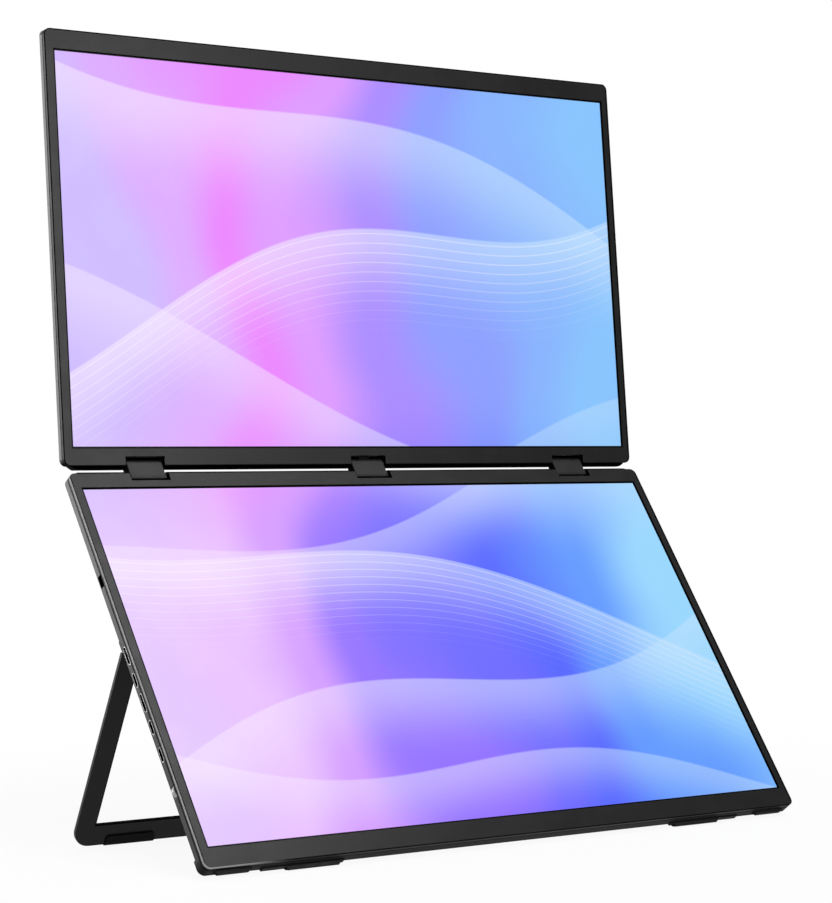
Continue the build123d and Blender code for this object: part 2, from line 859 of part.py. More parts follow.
def stand_pad(side):
    """Rubber shoe clipped over the crossbar, round at its tip."""
    low, high = pad_range(side)
    start = tip_place - pad_height
    inner_face = stand_mid_depth - pad_radius
    outer_face = stand_mid_depth + pad_radius
    shoe = slab(low, high, start, tip_place, inner_face, outer_face)
    shoe = fillet(shoe.edges().filter_by(Axis.Z).group_by(Axis.Y)[0], pad_corner)
    shoe = shoe + rod(low, high, tip_place, stand_mid_depth, pad_radius)
    sleeve = slab(low - 1, high + 1, start - 1, stand_end, stand_face, stand_face + stand_thickness)
    return shoe - sleeve


def stand_hinge_base(side):
    """Hinge plate on the cover's edge strip, with two ears around the kickstand's knuckle."""
    low = stand_inner + base_side_gap
    high = stand_outer - base_side_gap
    end = stand_pivot - base_set_back
    base = slab(low, high, end - base_length, end, edge_depth, edge_depth + base_thickness)
    knuckle_room = knuckle_length / 2 + knuckle_gap
    web_start = end - base_web
    web_back = stand_axis_depth + knuckle_radius
    ears = []
    for ear_low, ear_high in ((low, stand_middle - knuckle_room), (stand_middle + knuckle_room, high)):
        web = slab(ear_low, ear_high, web_start, stand_pivot, edge_depth, web_back)
        tip = rod(ear_low, ear_high, stand_pivot, stand_axis_depth, knuckle_radius)
        ears.append(web + tip)
    base = base + ears
    bore = rod(low - 1, high + 1, stand_pivot, stand_axis_depth, stand_pin_radius + running_clearance)
    base = base - bore
    for x, y in stand_screw_places():
        base = base - post(x, y, edge_depth - 1, web_back, screw_radius + screw_clearance)
    return base if side > 0 else mirror(base, about=Plane.YZ)


def stand_screw_places():
    """Plan positions of the two screws in the right-hand hinge base."""
    end = stand_pivot - base_set_back
    first = end - base_length + base_screw_inset
    second = end - base_web - base_screw_inset + 0.5
    return [(stand_middle, first), (stand_middle, second)]


def stand_base_pilots():
    """Holes in the cover for the hinge bases' screws."""
    radius = screw_radius + screw_clearance
    front = floor_depth - base_boss_height
    places = [(side * x, y) for x, y in stand_screw_places() for side in (-1, 1)]
    return [post(x, y, front, edge_depth + 1, radius) for x, y in places]


def stand_base_screws():
    """Screws through the hinge bases, with their heads on the outside."""
    seat = edge_depth + base_thickness
    screws = []
    for x, y in stand_screw_places():
        for side in (-1, 1):
            head = post(side * x, y, seat, seat + screw_head_height, screw_head_radius)
            shank = post(side * x, y, floor_depth - base_boss_height + blind_depth, seat, screw_radius)
            screws.append(head + shank)
    return screws


def stand_pin(side):
    """Pin through the ears and the knuckle of one arm."""
    low = stand_inner + base_side_gap
    high = stand_outer - base_side_gap
    pin = rod(low, high, stand_pivot, stand_axis_depth, stand_pin_radius)
    return pin if side > 0 else mirror(pin, about=Plane.YZ)


# Fold hinge links, drawn from the lower pin (y = 0) to the upper pin, z to the front
def hinge_link(place, has_ribbon):
    """Solid link with a flat face, a bent foot, round rear ends, sloping heels and a bore for each pin."""
    half = link_width / 2
    low, high = place - half, place + half
    heel = link_end_radius * cos(radians(45))
    heel_end = link_rear - 2 * heel
    points = [
        (-link_face_start, -link_front),
        (axis_distance + link_head, -link_front),
        (axis_distance + link_end_radius, 0),
        (axis_distance + heel, heel),
        (axis_distance - heel_end, link_rear),
        (heel_end, link_rear),
        (-heel, heel),
        (-link_end_radius, 0),
        (-link_foot, link_foot_drop - link_front),
    ]
    body = profile_bar(points, low, high)
    for y in (0, axis_distance):
        body = body + rod(low, high, y, 0, link_end_radius)
    body = body & slab(low, high, -axis_distance, 2 * axis_distance, -link_front, link_rear)
    face_edges = body.faces().sort_by(Axis.Z)[-1].edges().filter_by(Axis.Y)
    body = chamfer(face_edges, link_chamfer)
    for y in (0, axis_distance):
        body = body - rod(low - 1, high + 1, y, 0, pin_radius + press_clearance)
    if has_ribbon:
        room = ribbon_width / 2 + ribbon_clearance
        front, back = link_ribbon_depths()
        front = front - ribbon_clearance
        back = back + ribbon_clearance
        body = body - slab(-room, room, -axis_distance, 2 * axis_distance, front, back)
    return body


def link_ribbon_depths():
    """Front and rear of the ribbon in the link, behind the line of the pins."""
    back = ribbon_depth - axis_depth
    return back - ribbon_thickness, back


def link_ribbon():
    """The stretch of ribbon cable inside the middle link."""
    front, back = link_ribbon_depths()
    half = ribbon_width / 2
    reach = link_end_radius * cos(radians(45))
    return slab(-half, half, -reach, axis_distance + reach, front, back)


def hinge_pin(place, y):
    """Steel pin through a link and the two ears of its bracket."""
    reach = notch_width / 2 + notch_wall + ear_clearance + ear_thickness
    return rod(place - reach, place + reach, y, 0, pin_radius)


def friction_washers():
    """Spring washers on the pins, between the links and the notch walls."""
    washers = []
    for place in hinge_places:
        for side in (-1, 1):
            start = place + side * (link_width / 2 + washer_gap)
            end = start + side * washer_thickness
            low, high = sorted((start, end))
            for y in (0, axis_distance):
                ring = rod(low, high, y, 0, washer_radius)
                washers.append(ring - rod(low - 1, high + 1, y, 0, pin_radius + press_clearance))
    return Compound(children=washers)


# Where each assembly stands on the desk
def along_panel(lean, up, front):
    """A (y, z) step made of a distance up a leaning panel and a distance out of its face."""
    c = cos(radians(lean))
    s = sin(radians(lean))
    return up * s - front * c, up * c + front * s


def hinge_edge_places():
    """The (y, z) of the lower hinge edge, lower pin, upper pin and upper hinge edge."""
    to_pin = along_panel(lower_lean, -axis_inset, -axis_depth)
    link_run = along_panel(lower_lean, axis_distance, 0)
    to_edge = along_panel(upper_lean, -axis_inset, axis_depth)
    lower_pin_y = to_pin[0]
    upper_edge_y = lower_pin_y + link_run[0] + to_edge[0]
    front_y = along_panel(lower_lean, -panel_height, 0)[0]
    rear_y = upper_edge_y + along_panel(upper_lean, panel_height, -edge_depth)[0]
    middle = (front_y + rear_y) / 2
    lower_edge = (-middle, foot_base_height)
    lower_pin = (lower_edge[0] + to_pin[0], lower_edge[1] + to_pin[1])
    upper_pin = (lower_pin[0] + link_run[0], lower_pin[1] + link_run[1])
    upper_edge = (upper_pin[0] + to_edge[0], upper_pin[1] + to_edge[1])
    return lower_edge, lower_pin, upper_pin, upper_edge


lower_edge, lower_pin, upper_pin, upper_edge = hinge_edge_places()
lower_stance = Pos(0, *lower_edge) * Rot(90 - lower_lean, 0, 0)
upper_stance = Pos(0, *upper_edge) * Rot(90 - upper_lean, 0, 0)
link_stance = Pos(0, *lower_pin) * Rot(90 - lower_lean, 0, 0)
stand_axis_flat = Pos(0, -stand_pivot, -stand_axis_depth)
stand_opening = stand_axis_flat * Rot(stand_open_angle, 0, 0) * stand_axis_flat.inverse()


def as_one(shape):
    """One shape from a single solid or a list of separate ones."""
    return Compound(children=shape) if isinstance(shape, list) else shape


def on_upper(shape):
    """Places a piece of the upper panel."""
    return upper_stance * as_one(shape)


def on_lower(shape):
    """Places a piece of the lower panel, which runs down from the hinge."""
    return lower_stance * mirror(as_one(shape), about=Plane.XZ)


def on_stand(shape):
    """Places a kickstand piece, swung open."""
    return lower_stance * stand_opening * mirror(as_one(shape), about=Plane.XZ)


def on_links(shape):
    """Places a piece of the fold hinge."""
    return link_stance * as_one(shape)


def panel_pieces(prefix, place):
    """The pieces that both panels have alike."""
    pieces = {
        prefix + "_front_bezel": place(front_bezel()),
        prefix + "_lcd_cell": place(lcd_cell()),
        prefix + "_light_guide": place(light_guide()),
        prefix + "_led_strip": place(led_strip()),
        prefix + "_backlight_tray": place(backlight_tray()),
    }
    for name, x in zip(("left", "middle", "right"), hinge_places):
        pieces[f"{prefix}_hinge_bracket_{name}"] = place(hinge_bracket(x))
    return pieces


def all_pieces():
    """Every named piece of the product, in its place."""
    pieces = panel_pieces("upper", on_upper)
    pieces.update(panel_pieces("lower", on_lower))
    pieces["upper_back_cover"] = on_upper(upper_back_cover())
    pieces["upper_driver_board"] = on_upper(driver_board())
    pieces["upper_ribbon_cable"] = on_upper(upper_ribbon())
    pieces["upper_cover_screws"] = on_upper(cover_screws(edge_depth))
    pieces["upper_hinge_screws"] = on_upper(bracket_screws())
    pieces["lower_back_cover"] = on_lower(lower_back_cover())
    pieces["lower_cover_screws"] = on_lower(cover_screws(lower_depth))
    pieces["lower_hinge_screws"] = on_lower(bracket_screws() + stand_base_screws())
    pieces["lower_ribbon_cable"] = on_lower(lower_ribbon())
    pieces["main_board"] = on_lower(main_board())
    pieces["board_chips"] = on_lower(board_chips())
    for i, y in enumerate(mini_hdmi_places):
        shell = socket(y, mini_hdmi_width, mini_hdmi_height, True)
        pieces[f"mini_hdmi_socket_{i + 1}"] = on_lower(shell)
    for i, y in enumerate(usb_c_places):
        shell = socket(y, usb_c_width, usb_c_height, False)
        pieces[f"usb_c_socket_{i + 1}"] = on_lower(shell)
    pieces["socket_tongues"] = on_lower(socket_tongues())
    pieces["light_pipes"] = on_lower(light_pipes())
    pieces["jog_switch"] = on_lower(jog_switch())
    pieces["jog_carrier"] = on_lower(jog_carrier())
    pieces["jog_dial"] = on_lower(jog_dial())
    for name, side in (("left", -1), ("right", 1)):
        pieces["foot_inner_" + name] = on_lower(inner_foot(side))
        pieces["foot_outer_" + name] = on_lower(outer_foot(side))
        pieces["kickstand_hinge_" + name] = on_lower(stand_hinge_base(side))
        pieces["kickstand_pad_" + name] = on_stand(stand_pad(side))
        pieces["kickstand_pin_" + name] = on_stand(stand_pin(side))
    pieces["kickstand_frame"] = on_stand(stand_frame())
    for name, x in zip(("left", "middle", "right"), hinge_places):
        pieces["hinge_link_" + name] = on_links(hinge_link(x, x == 0))
        pieces["lower_hinge_pin_" + name] = on_links(hinge_pin(x, 0))
        pieces["upper_hinge_pin_" + name] = on_links(hinge_pin(x, axis_distance))
    pieces["friction_washers"] = on_links(friction_washers())
    pieces["link_ribbon_cable"] = on_links(link_ribbon())
    return pieces


os.makedirs("parts", exist_ok=True)
for node, shape in all_pieces().items():
    export_step(shape, f"parts/{node}.step")
print("lower pin y, z:", lower_pin)
print("upper pin y, z:", upper_pin)
print("kickstand reaches", stand_end, "of", panel_height, "mm down the panel when stowed")
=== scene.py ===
# %% [markdown]
# # A folding monitor with two screens
# This lesson dresses a folding monitor. Two thin displays share a hinge, and the lower one leans on a
# flat metal kickstand. The solids of the model are loaded as a fixed frame: they say where everything is
# and what moves. The lesson adds the camera, the light, the finishes, and the two display cells.

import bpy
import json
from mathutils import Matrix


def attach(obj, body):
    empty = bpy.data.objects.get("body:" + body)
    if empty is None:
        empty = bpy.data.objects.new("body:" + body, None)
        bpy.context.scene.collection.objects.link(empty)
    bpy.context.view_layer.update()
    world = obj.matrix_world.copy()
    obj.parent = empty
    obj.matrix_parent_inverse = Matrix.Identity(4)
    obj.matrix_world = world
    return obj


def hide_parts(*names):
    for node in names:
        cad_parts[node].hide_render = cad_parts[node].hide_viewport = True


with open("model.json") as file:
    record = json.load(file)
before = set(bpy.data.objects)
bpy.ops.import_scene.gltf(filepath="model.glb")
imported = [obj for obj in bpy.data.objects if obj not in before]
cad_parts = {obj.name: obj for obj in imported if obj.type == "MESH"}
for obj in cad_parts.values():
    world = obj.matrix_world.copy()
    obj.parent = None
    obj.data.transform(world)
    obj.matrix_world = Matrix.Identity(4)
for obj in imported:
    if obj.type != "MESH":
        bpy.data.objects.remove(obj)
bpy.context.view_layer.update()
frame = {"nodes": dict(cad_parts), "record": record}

# %% [markdown]
# ## Sizes of the product
# A panel is 422 mm wide and its lit picture 409 by 230 mm. Each panel is easiest to think of lying flat:
# `across` runs along its width, `along` runs from the hinge edge to the far edge, and `depth` runs from
# the face to the back. The two panels lean back by different angles, so one small function turns those
# three numbers into a place in the room.

# %% Panel sizes and places
import json
from math import cos, radians, sin

import bpy
from mathutils import Matrix, Vector

mm = 0.001
active_width = 408.96 * mm
active_height = 230.04 * mm
side_bezel = 6.52 * mm
hinge_bezel = 11.2 * mm
outer_bezel = 12.9 * mm
edge_depth = 7.0 * mm
panel_width = active_width + 2 * side_bezel
panel_height = active_height + hinge_bezel + outer_bezel

panels = {
    "upper": {"origin": Vector((0, 61.755, 217.880)) * mm, "lean": radians(4.64), "way": 1},
    "lower": {"origin": Vector((0, 57.892, 213.822)) * mm, "lean": radians(35.39), "way": -1},
}


def panel_point(panel, across, along, depth):
    """Place in the room of a point given in a panel's own directions."""
    spot = panels[panel]
    up = Vector((0, sin(spot["lean"]), cos(spot["lean"])))
    back = Vector((0, cos(spot["lean"]), -sin(spot["lean"])))
    return spot["origin"] + Vector((across, 0, 0)) + up * along * spot["way"] + back * depth


print("far edge of the upper panel:", panel_point("upper", 0, panel_height, 0))
print("far edge of the lower panel:", panel_point("lower", 0, panel_height, 0))

# %% [markdown]
# ## Camera
# The picture was taken from the left of the product and a little below the middle of the upper screen,
# with a long lens. Three directions fix such a camera: what it calls right, up and forward. The small
# shift stands for the picture having been cropped a little off the lens's centre.

# %% Setting up the camera
camera_data = bpy.data.cameras.new("camera")
camera_data.sensor_fit = "VERTICAL"
camera_data.sensor_height = 36
camera_data.lens = 103.146
camera_data.shift_x = 0.0520
camera_data.shift_y = 0.0158
camera_data.clip_start = 0.05
camera_data.clip_end = 60
camera = bpy.data.objects.new("camera", camera_data)
bpy.context.scene.collection.objects.link(camera)
camera_right = Vector((0.82080371, -0.57113785, -0.0091011))
camera_up = Vector((0.00532673, -0.00827901, 0.99995154))
camera_back = Vector((-0.57118552, -0.82081241, -0.00375315))
turn = Matrix((camera_right, camera_up, camera_back)).transposed().to_4x4()
camera.matrix_world = Matrix.Translation(Vector((-910.499, -1246.968, 210.910)) * mm) @ turn
bpy.context.scene.camera = camera
print("camera at", camera.location, "lens", camera_data.lens)

# %% [markdown]
# ## Helpers for shaders
# Every finish in this lesson is built from nodes, so three helpers come first. One turns a screen colour
# into the numbers that shaders use. The other two add nodes: one that reckons with values, and one that
# eases from one range of values to another.

# %% Colours and reckoning nodes
def tone(code, alpha=1.0):
    """Turns a screen colour such as 4b4b4b into the linear numbers that shaders use."""
    parts = [int(code[i:i + 2], 16) / 255 for i in (0, 2, 4)]
    return tuple(p / 12.92 if p <= 0.04045 else ((p + 0.055) / 1.055) ** 2.4 for p in parts) + (alpha,)


def maths(tree, operation, first, second=0.0, clamp=False):
    """Adds a math node; each side can be a value or an output."""
    node = tree.nodes.new("ShaderNodeMath")
    node.operation = operation
    node.use_clamp = clamp
    for i, side in enumerate((first, second)):
        if isinstance(side, (int, float)):
            node.inputs[i].default_value = side
        else:
            tree.links.new(side, node.inputs[i])
    return node.outputs[0]


def eased(tree, value, low, high, to_low=0.0, to_high=1.0):
    """Smoothly maps a value from one range to another."""
    node = tree.nodes.new("ShaderNodeMapRange")
    node.interpolation_type = "SMOOTHSTEP"
    tree.links.new(value, node.inputs["Value"])
    node.inputs["From Min"].default_value = low
    node.inputs["From Max"].default_value = high
    node.inputs["To Min"].default_value = to_low
    node.inputs["To Max"].default_value = to_high
    return node.outputs["Result"]


print("dark frame tone:", tone("2a2a2a"))

# %% [markdown]
# ## Studio
# The product stands on a pale floor in a white room. A room bright enough to look white would light the
# dark frames flat, so the world has two strengths: white for what the camera sees, and a dimmer one for
# the light that it gives.

# %% Studio world
white = (1, 1, 1, 1)
sky_fill = 0.28


def seen_directly(tree):
    """One for what the camera sees straight ahead, in a sheen or through glass, and otherwise nought."""
    rays = tree.nodes.new("ShaderNodeLightPath")
    seen = maths(tree, "MAXIMUM", rays.outputs["Is Camera Ray"], rays.outputs["Is Glossy Ray"])
    return maths(tree, "MAXIMUM", seen, rays.outputs["Is Transmission Ray"])


world = bpy.data.worlds.new("studio")
bpy.context.scene.world = world
world.use_nodes = True
sky = world.node_tree
sky.nodes.clear()
soft_sky = sky.nodes.new("ShaderNodeBackground")
soft_sky.inputs["Color"].default_value = white
soft_sky.inputs["Strength"].default_value = sky_fill
white_sky = sky.nodes.new("ShaderNodeBackground")
white_sky.inputs["Color"].default_value = white
white_sky.inputs["Strength"].default_value = 1.0
sky_mix = sky.nodes.new("ShaderNodeMixShader")
sky_out = sky.nodes.new("ShaderNodeOutputWorld")
sky.links.new(seen_directly(sky), sky_mix.inputs["Fac"])
sky.links.new(soft_sky.outputs[0], sky_mix.inputs[1])
sky.links.new(white_sky.outputs[0], sky_mix.inputs[2])
sky.links.new(sky_mix.outputs[0], sky_out.inputs["Surface"])
print("world made with", len(sky.nodes), "nodes")

# %% [markdown]
# The camera sees the floor as plain white too. Near the product a small share of it is lit like any
# surface, so that a soft shadow shows there and the product doesn't seem to float.

# %% Floor
floor_size = 14
floor_drop = 0.4 * mm
shadow_near = 0.25
shadow_far = 0.75
least_white = 0.92

bpy.ops.object.select_all(action="DESELECT")
bpy.ops.mesh.primitive_plane_add(size=floor_size, location=(0, 0, -floor_drop))
floor = bpy.context.object
floor.name = "studio_floor"
floor_finish = bpy.data.materials.new("studio_floor")
floor_finish.use_nodes = True
paint = floor_finish.node_tree
paint.nodes.clear()
floor_places = paint.nodes.new("ShaderNodeTexCoord")
floor_reach = paint.nodes.new("ShaderNodeVectorMath")
floor_reach.operation = "LENGTH"
floor_matte = paint.nodes.new("ShaderNodeBsdfDiffuse")
floor_matte.inputs["Color"].default_value = (0.9, 0.9, 0.9, 1)
floor_white = paint.nodes.new("ShaderNodeEmission")
floor_white.inputs["Strength"].default_value = 1.0
floor_mix = paint.nodes.new("ShaderNodeMixShader")
floor_out = paint.nodes.new("ShaderNodeOutputMaterial")
paint.links.new(floor_places.outputs["Object"], floor_reach.inputs[0])
own_white = eased(paint, floor_reach.outputs["Value"], shadow_near, shadow_far, least_white, 1.0)
floor_share = maths(paint, "MULTIPLY", seen_directly(paint), own_white)
paint.links.new(floor_share, floor_mix.inputs["Fac"])
paint.links.new(floor_matte.outputs[0], floor_mix.inputs[1])
paint.links.new(floor_white.outputs[0], floor_mix.inputs[2])
paint.links.new(floor_mix.outputs[0], floor_out.inputs["Surface"])
floor.data.materials.append(floor_finish)
print("floor", round(floor.dimensions.x, 2), "m wide")

# %% [markdown]
# Large soft lamps light the product. Two of them show only in sheens and give the dark frames their slow
# fade from left to right. One gives only plain light, and one behind on the left lights the sides. The
# last two are weak and fill what the others leave dark, on the left and behind on the right.

# %% Lamps
def soft_lamp(name, place, aim, width, height, power, sheen=True, fill=True):
    """A rectangular softbox that faces a point; it shows in sheens, lights matte surfaces, or does both."""
    data = bpy.data.lights.new(name, "AREA")
    data.shape = "RECTANGLE"
    data.size = width
    data.size_y = height
    data.energy = power
    lamp = bpy.data.objects.new(name, data)
    bpy.context.scene.collection.objects.link(lamp)
    lamp.location = place
    lamp.visible_glossy = sheen
    lamp.visible_diffuse = fill
    facing = Vector(aim) - Vector(place)
    lamp.rotation_euler = facing.to_track_quat("-Z", "Y").to_euler()
    print(name, "stands", round(facing.length, 2), "m away")


soft_lamp("face_lamp", (1.0, -2.55, 0.95), (-0.2, 0, 0.35), 0.7, 1.3, 100, fill=False)
soft_lamp("sky_lamp", (0.85, -0.99, 2.05), (-0.2, 0, 0.1), 0.65, 0.65, 57, fill=False)
soft_lamp("top_lamp", (-0.2, -1.1, 2.6), (0, 0, 0.1), 1.6, 1.4, 46, sheen=False)
soft_lamp("edge_lamp", (-1.43, 2.3, 0.6), (-0.2, 0, 0.2), 0.9, 1.2, 27)
soft_lamp("side_fill", (-2.4, -0.6, 1.1), (0, 0, 0.2), 0.9, 0.9, 5)
soft_lamp("back_lamp", (1.3, 2.3, 1.5), (0, 0, 0.2), 1.4, 1.2, 16)

bpy.context.scene.view_settings.view_transform = "Standard"

# %% [markdown]
# ## Effects that several finishes share
# Moulded plastic, anodised metal and rubber all have a fine grain, a slow unevenness, edges that catch
# the light and are rubbed a little paler by handling, and some dust on what faces up. Each effect is a
# node group, so that it is built once and then placed in every finish with values of its own.

# %% Helper that starts a node group
def start_group(name, inputs, outputs):
    """Makes an empty shader group with named inputs and outputs."""
    group = bpy.data.node_groups.new(name, "ShaderNodeTree")
    for label, kind, value in inputs:
        socket = group.interface.new_socket(label, in_out="INPUT", socket_type=kind)
        if value is not None:
            socket.default_value = value
    for label, kind in outputs:
        group.interface.new_socket(label, in_out="OUTPUT", socket_type=kind)
    return group, group.nodes.new("NodeGroupInput"), group.nodes.new("NodeGroupOutput")


print("node groups so far:", len(bpy.data.node_groups))

# %% [markdown]
# The grain group gives two things: a height for the bump of a surface, from two sizes of noise, and a
# slow mottle for its colour and gloss. The vector that goes in is the piece's own Object coordinates,
# which stay with it as it folds.

# %% Surface grain
grain_group, grain_in, grain_out = start_group(
    "surface_grain",
    [("Vector", "NodeSocketVector", None),
     ("Grain", "NodeSocketFloat", 3000.0),
     ("Mottle", "NodeSocketFloat", 60.0)],
    [("Height", "NodeSocketFloat"), ("Mottle", "NodeSocketFloat")],
)
fine = grain_group.nodes.new("ShaderNodeTexNoise")
fine.inputs["Detail"].default_value = 2
coarse = grain_group.nodes.new("ShaderNodeTexVoronoi")
coarse.feature = "SMOOTH_F1"
slow = grain_group.nodes.new("ShaderNodeTexNoise")
slow.inputs["Detail"].default_value = 4
slow.inputs["Roughness"].default_value = 0.6
for node in (fine, coarse, slow):
    grain_group.links.new(grain_in.outputs["Vector"], node.inputs["Vector"])
grain_group.links.new(grain_in.outputs["Grain"], fine.inputs["Scale"])
coarse_scale = maths(grain_group, "MULTIPLY", grain_in.outputs["Grain"], 0.6)
grain_group.links.new(coarse_scale, coarse.inputs["Scale"])
grain_group.links.new(grain_in.outputs["Mottle"], slow.inputs["Scale"])
both = maths(grain_group, "ADD", fine.outputs["Fac"], coarse.outputs["Distance"])
grain_group.links.new(maths(grain_group, "MULTIPLY", both, 0.5), grain_out.inputs["Height"])
grain_group.links.new(eased(grain_group, slow.outputs["Fac"], 0.3, 0.7), grain_out.inputs["Mottle"])
print(grain_group.name, len(grain_group.nodes), "nodes")

# %% [markdown]
# No made edge is truly sharp. The Bevel node looks a short way around each point and gives the direction
# that a rounded edge would face. Where that differs from the flat face the point is on an edge, so the
# same node also says where handling has rubbed the finish.

# %% Rounded and worn edges
edge_group, edge_in, edge_out = start_group(
    "worn_edges",
    [("Radius", "NodeSocketFloat", 0.0003), ("Break up", "NodeSocketFloat", 0.5)],
    [("Normal", "NodeSocketVector"), ("Wear", "NodeSocketFloat")],
)
rounded = edge_group.nodes.new("ShaderNodeBevel")
rounded.samples = 6
edge_group.links.new(edge_in.outputs["Radius"], rounded.inputs["Radius"])
facing = edge_group.nodes.new("ShaderNodeNewGeometry")
alike = edge_group.nodes.new("ShaderNodeVectorMath")
alike.operation = "DOT_PRODUCT"
edge_group.links.new(rounded.outputs["Normal"], alike.inputs[0])
edge_group.links.new(facing.outputs["Normal"], alike.inputs[1])
on_edge = eased(edge_group, alike.outputs["Value"], 0.985, 0.86)
rubbed = maths(edge_group, "MULTIPLY", on_edge, edge_in.outputs["Break up"], clamp=True)
edge_group.links.new(rounded.outputs["Normal"], edge_out.inputs["Normal"])
edge_group.links.new(rubbed, edge_out.inputs["Wear"])
print(edge_group.name, len(edge_group.nodes), "nodes")

# %% [markdown]
# Brushed and rolled metal has long fine lines. They are noise that is stretched along one direction, here
# the width of the product.

# %% Brushed lines
brush_group, brush_in, brush_out = start_group(
    "brushed_lines",
    [("Vector", "NodeSocketVector", None), ("Fineness", "NodeSocketFloat", 2500.0)],
    [("Lines", "NodeSocketFloat")],
)
stretch = brush_group.nodes.new("ShaderNodeMapping")
stretch.inputs["Scale"].default_value = (0.01, 1, 1)
lines = brush_group.nodes.new("ShaderNodeTexNoise")
lines.inputs["Detail"].default_value = 3
brush_group.links.new(brush_in.outputs["Vector"], stretch.inputs["Vector"])
brush_group.links.new(stretch.outputs["Vector"], lines.inputs["Vector"])
brush_group.links.new(brush_in.outputs["Fineness"], lines.inputs["Scale"])
brush_group.links.new(lines.outputs["Fac"], brush_out.inputs["Lines"])
print(brush_group.name, len(brush_group.nodes), "nodes")

# %% [markdown]
# Dust lies on what faces up, in loose patches. Single specks would be too small to see here, so dust is
# only a mask: how far a surface faces up, times a patchy noise.

# %% Dust
dust_group, dust_in, dust_out = start_group(
    "resting_dust",
    [("Vector", "NodeSocketVector", None), ("Amount", "NodeSocketFloat", 0.1)],
    [("Dust", "NodeSocketFloat")],
)
dust_facing = dust_group.nodes.new("ShaderNodeNewGeometry")
dust_axes = dust_group.nodes.new("ShaderNodeSeparateXYZ")
patches = dust_group.nodes.new("ShaderNodeTexNoise")
patches.inputs["Scale"].default_value = 180
patches.inputs["Detail"].default_value = 6
dust_group.links.new(dust_facing.outputs["Normal"], dust_axes.inputs[0])
dust_group.links.new(dust_in.outputs["Vector"], patches.inputs["Vector"])
up_share = eased(dust_group, dust_axes.outputs["Z"], 0.5, 1.0)
patchy = eased(dust_group, patches.outputs["Fac"], 0.35, 0.75)
dusty = maths(dust_group, "MULTIPLY", up_share, patchy)
dusty = maths(dust_group, "MULTIPLY", dusty, dust_in.outputs["Amount"])
dust_group.links.new(dusty, dust_out.inputs["Dust"])
print(dust_group.name, len(dust_group.nodes), "nodes")

# %% [markdown]
# ## Finishes
# Four small helpers come first. One puts a node group into a material, two find the shader and the Object
# coordinates of a finish again, and one mixes two colours by a mask.

# %% Helpers for finishes
def place_group(tree, group):
    """Puts a node group into a material."""
    node = tree.nodes.new("ShaderNodeGroup")
    node.node_tree = group
    return node


def shader_of(tree):
    """The Principled shader of a finish."""
    return next(n for n in tree.nodes if n.type == "BSDF_PRINCIPLED")


def places_of(tree):
    """The Object coordinates that a finish already uses."""
    return next(n for n in tree.nodes if n.type == "TEX_COORD").outputs["Object"]


def blend_tones(tree, share, first, second):
    """Mixes two colours, each a value or an output, by a mask."""
    node = tree.nodes.new("ShaderNodeMix")
    node.data_type = "RGBA"
    tree.links.new(share, node.inputs["Factor"])
    for label, side in (("A", first), ("B", second)):
        socket = next(s for s in node.inputs if s.name == label and s.type == "RGBA")
        if isinstance(side, tuple):
            socket.default_value = side
        else:
            tree.links.new(side, socket)
    return next(s for s in node.outputs if s.type == "RGBA")


print("effects to place:", [g.name for g in bpy.data.node_groups])

# %% [markdown]
# A finish starts from one maker that places the shared effects around a Principled shader. What differs
# between the bezel's fine moulded grain, the anodised covers, the painted stand and the rubber is in the
# numbers.

# %% Maker of finishes
def make_finish(name, dark, light, worn, metallic=0.0, gloss=(0.4, 0.5), specular=0.5, grain=3000,
                mottle=60, depth=0.00001, radius=0.0002, wear=0.5, dust=0.05, brushed=0.0):
    """Builds a finish: two tones that mottle, worn edges, grain, dust and, for metal, brushed lines."""
    material = bpy.data.materials.new(name)
    material.use_nodes = True
    tree = material.node_tree
    tree.nodes.clear()
    shader = tree.nodes.new("ShaderNodeBsdfPrincipled")
    output = tree.nodes.new("ShaderNodeOutputMaterial")
    places = tree.nodes.new("ShaderNodeTexCoord").outputs["Object"]
    surface = place_group(tree, grain_group)
    surface.inputs["Grain"].default_value = grain
    surface.inputs["Mottle"].default_value = mottle
    edges = place_group(tree, edge_group)
    edges.inputs["Radius"].default_value = radius
    edges.inputs["Break up"].default_value = wear
    dusting = place_group(tree, dust_group)
    dusting.inputs["Amount"].default_value = dust
    tree.links.new(places, surface.inputs["Vector"])
    tree.links.new(places, dusting.inputs["Vector"])
    body = blend_tones(tree, surface.outputs["Mottle"], tone(dark), tone(light))
    height = surface.outputs["Height"]
    if brushed:
        strokes = place_group(tree, brush_group)
        tree.links.new(places, strokes.inputs["Vector"])
        shade = eased(tree, strokes.outputs["Lines"], 0.3, 0.7, 0.0, brushed)
        body = blend_tones(tree, shade, body, tone(worn))
        height = maths(tree, "ADD", height, strokes.outputs["Lines"])
    body = blend_tones(tree, edges.outputs["Wear"], body, tone(worn))
    body = blend_tones(tree, dusting.outputs["Dust"], body, tone(dust_tone))
    roughness = eased(tree, surface.outputs["Mottle"], 0.0, 1.0, gloss[0], gloss[1])
    roughness = maths(tree, "ADD", roughness, dusting.outputs["Dust"], clamp=True)
    bump = tree.nodes.new("ShaderNodeBump")
    bump.inputs["Distance"].default_value = depth
    bump.inputs["Strength"].default_value = 1.0
    tree.links.new(height, bump.inputs["Height"])
    tree.links.new(edges.outputs["Normal"], bump.inputs["Normal"])
    tree.links.new(bump.outputs["Normal"], shader.inputs["Normal"])
    tree.links.new(body, shader.inputs["Base Color"])
    tree.links.new(roughness, shader.inputs["Roughness"])
    shader.inputs["Metallic"].default_value = metallic
    shader.inputs["Specular IOR Level"].default_value = specular
    tree.links.new(shader.outputs[0], output.inputs["Surface"])
    return material


dust_tone = "a8a49c"
finishes = {}
print("the maker lays dust of the tone", dust_tone)

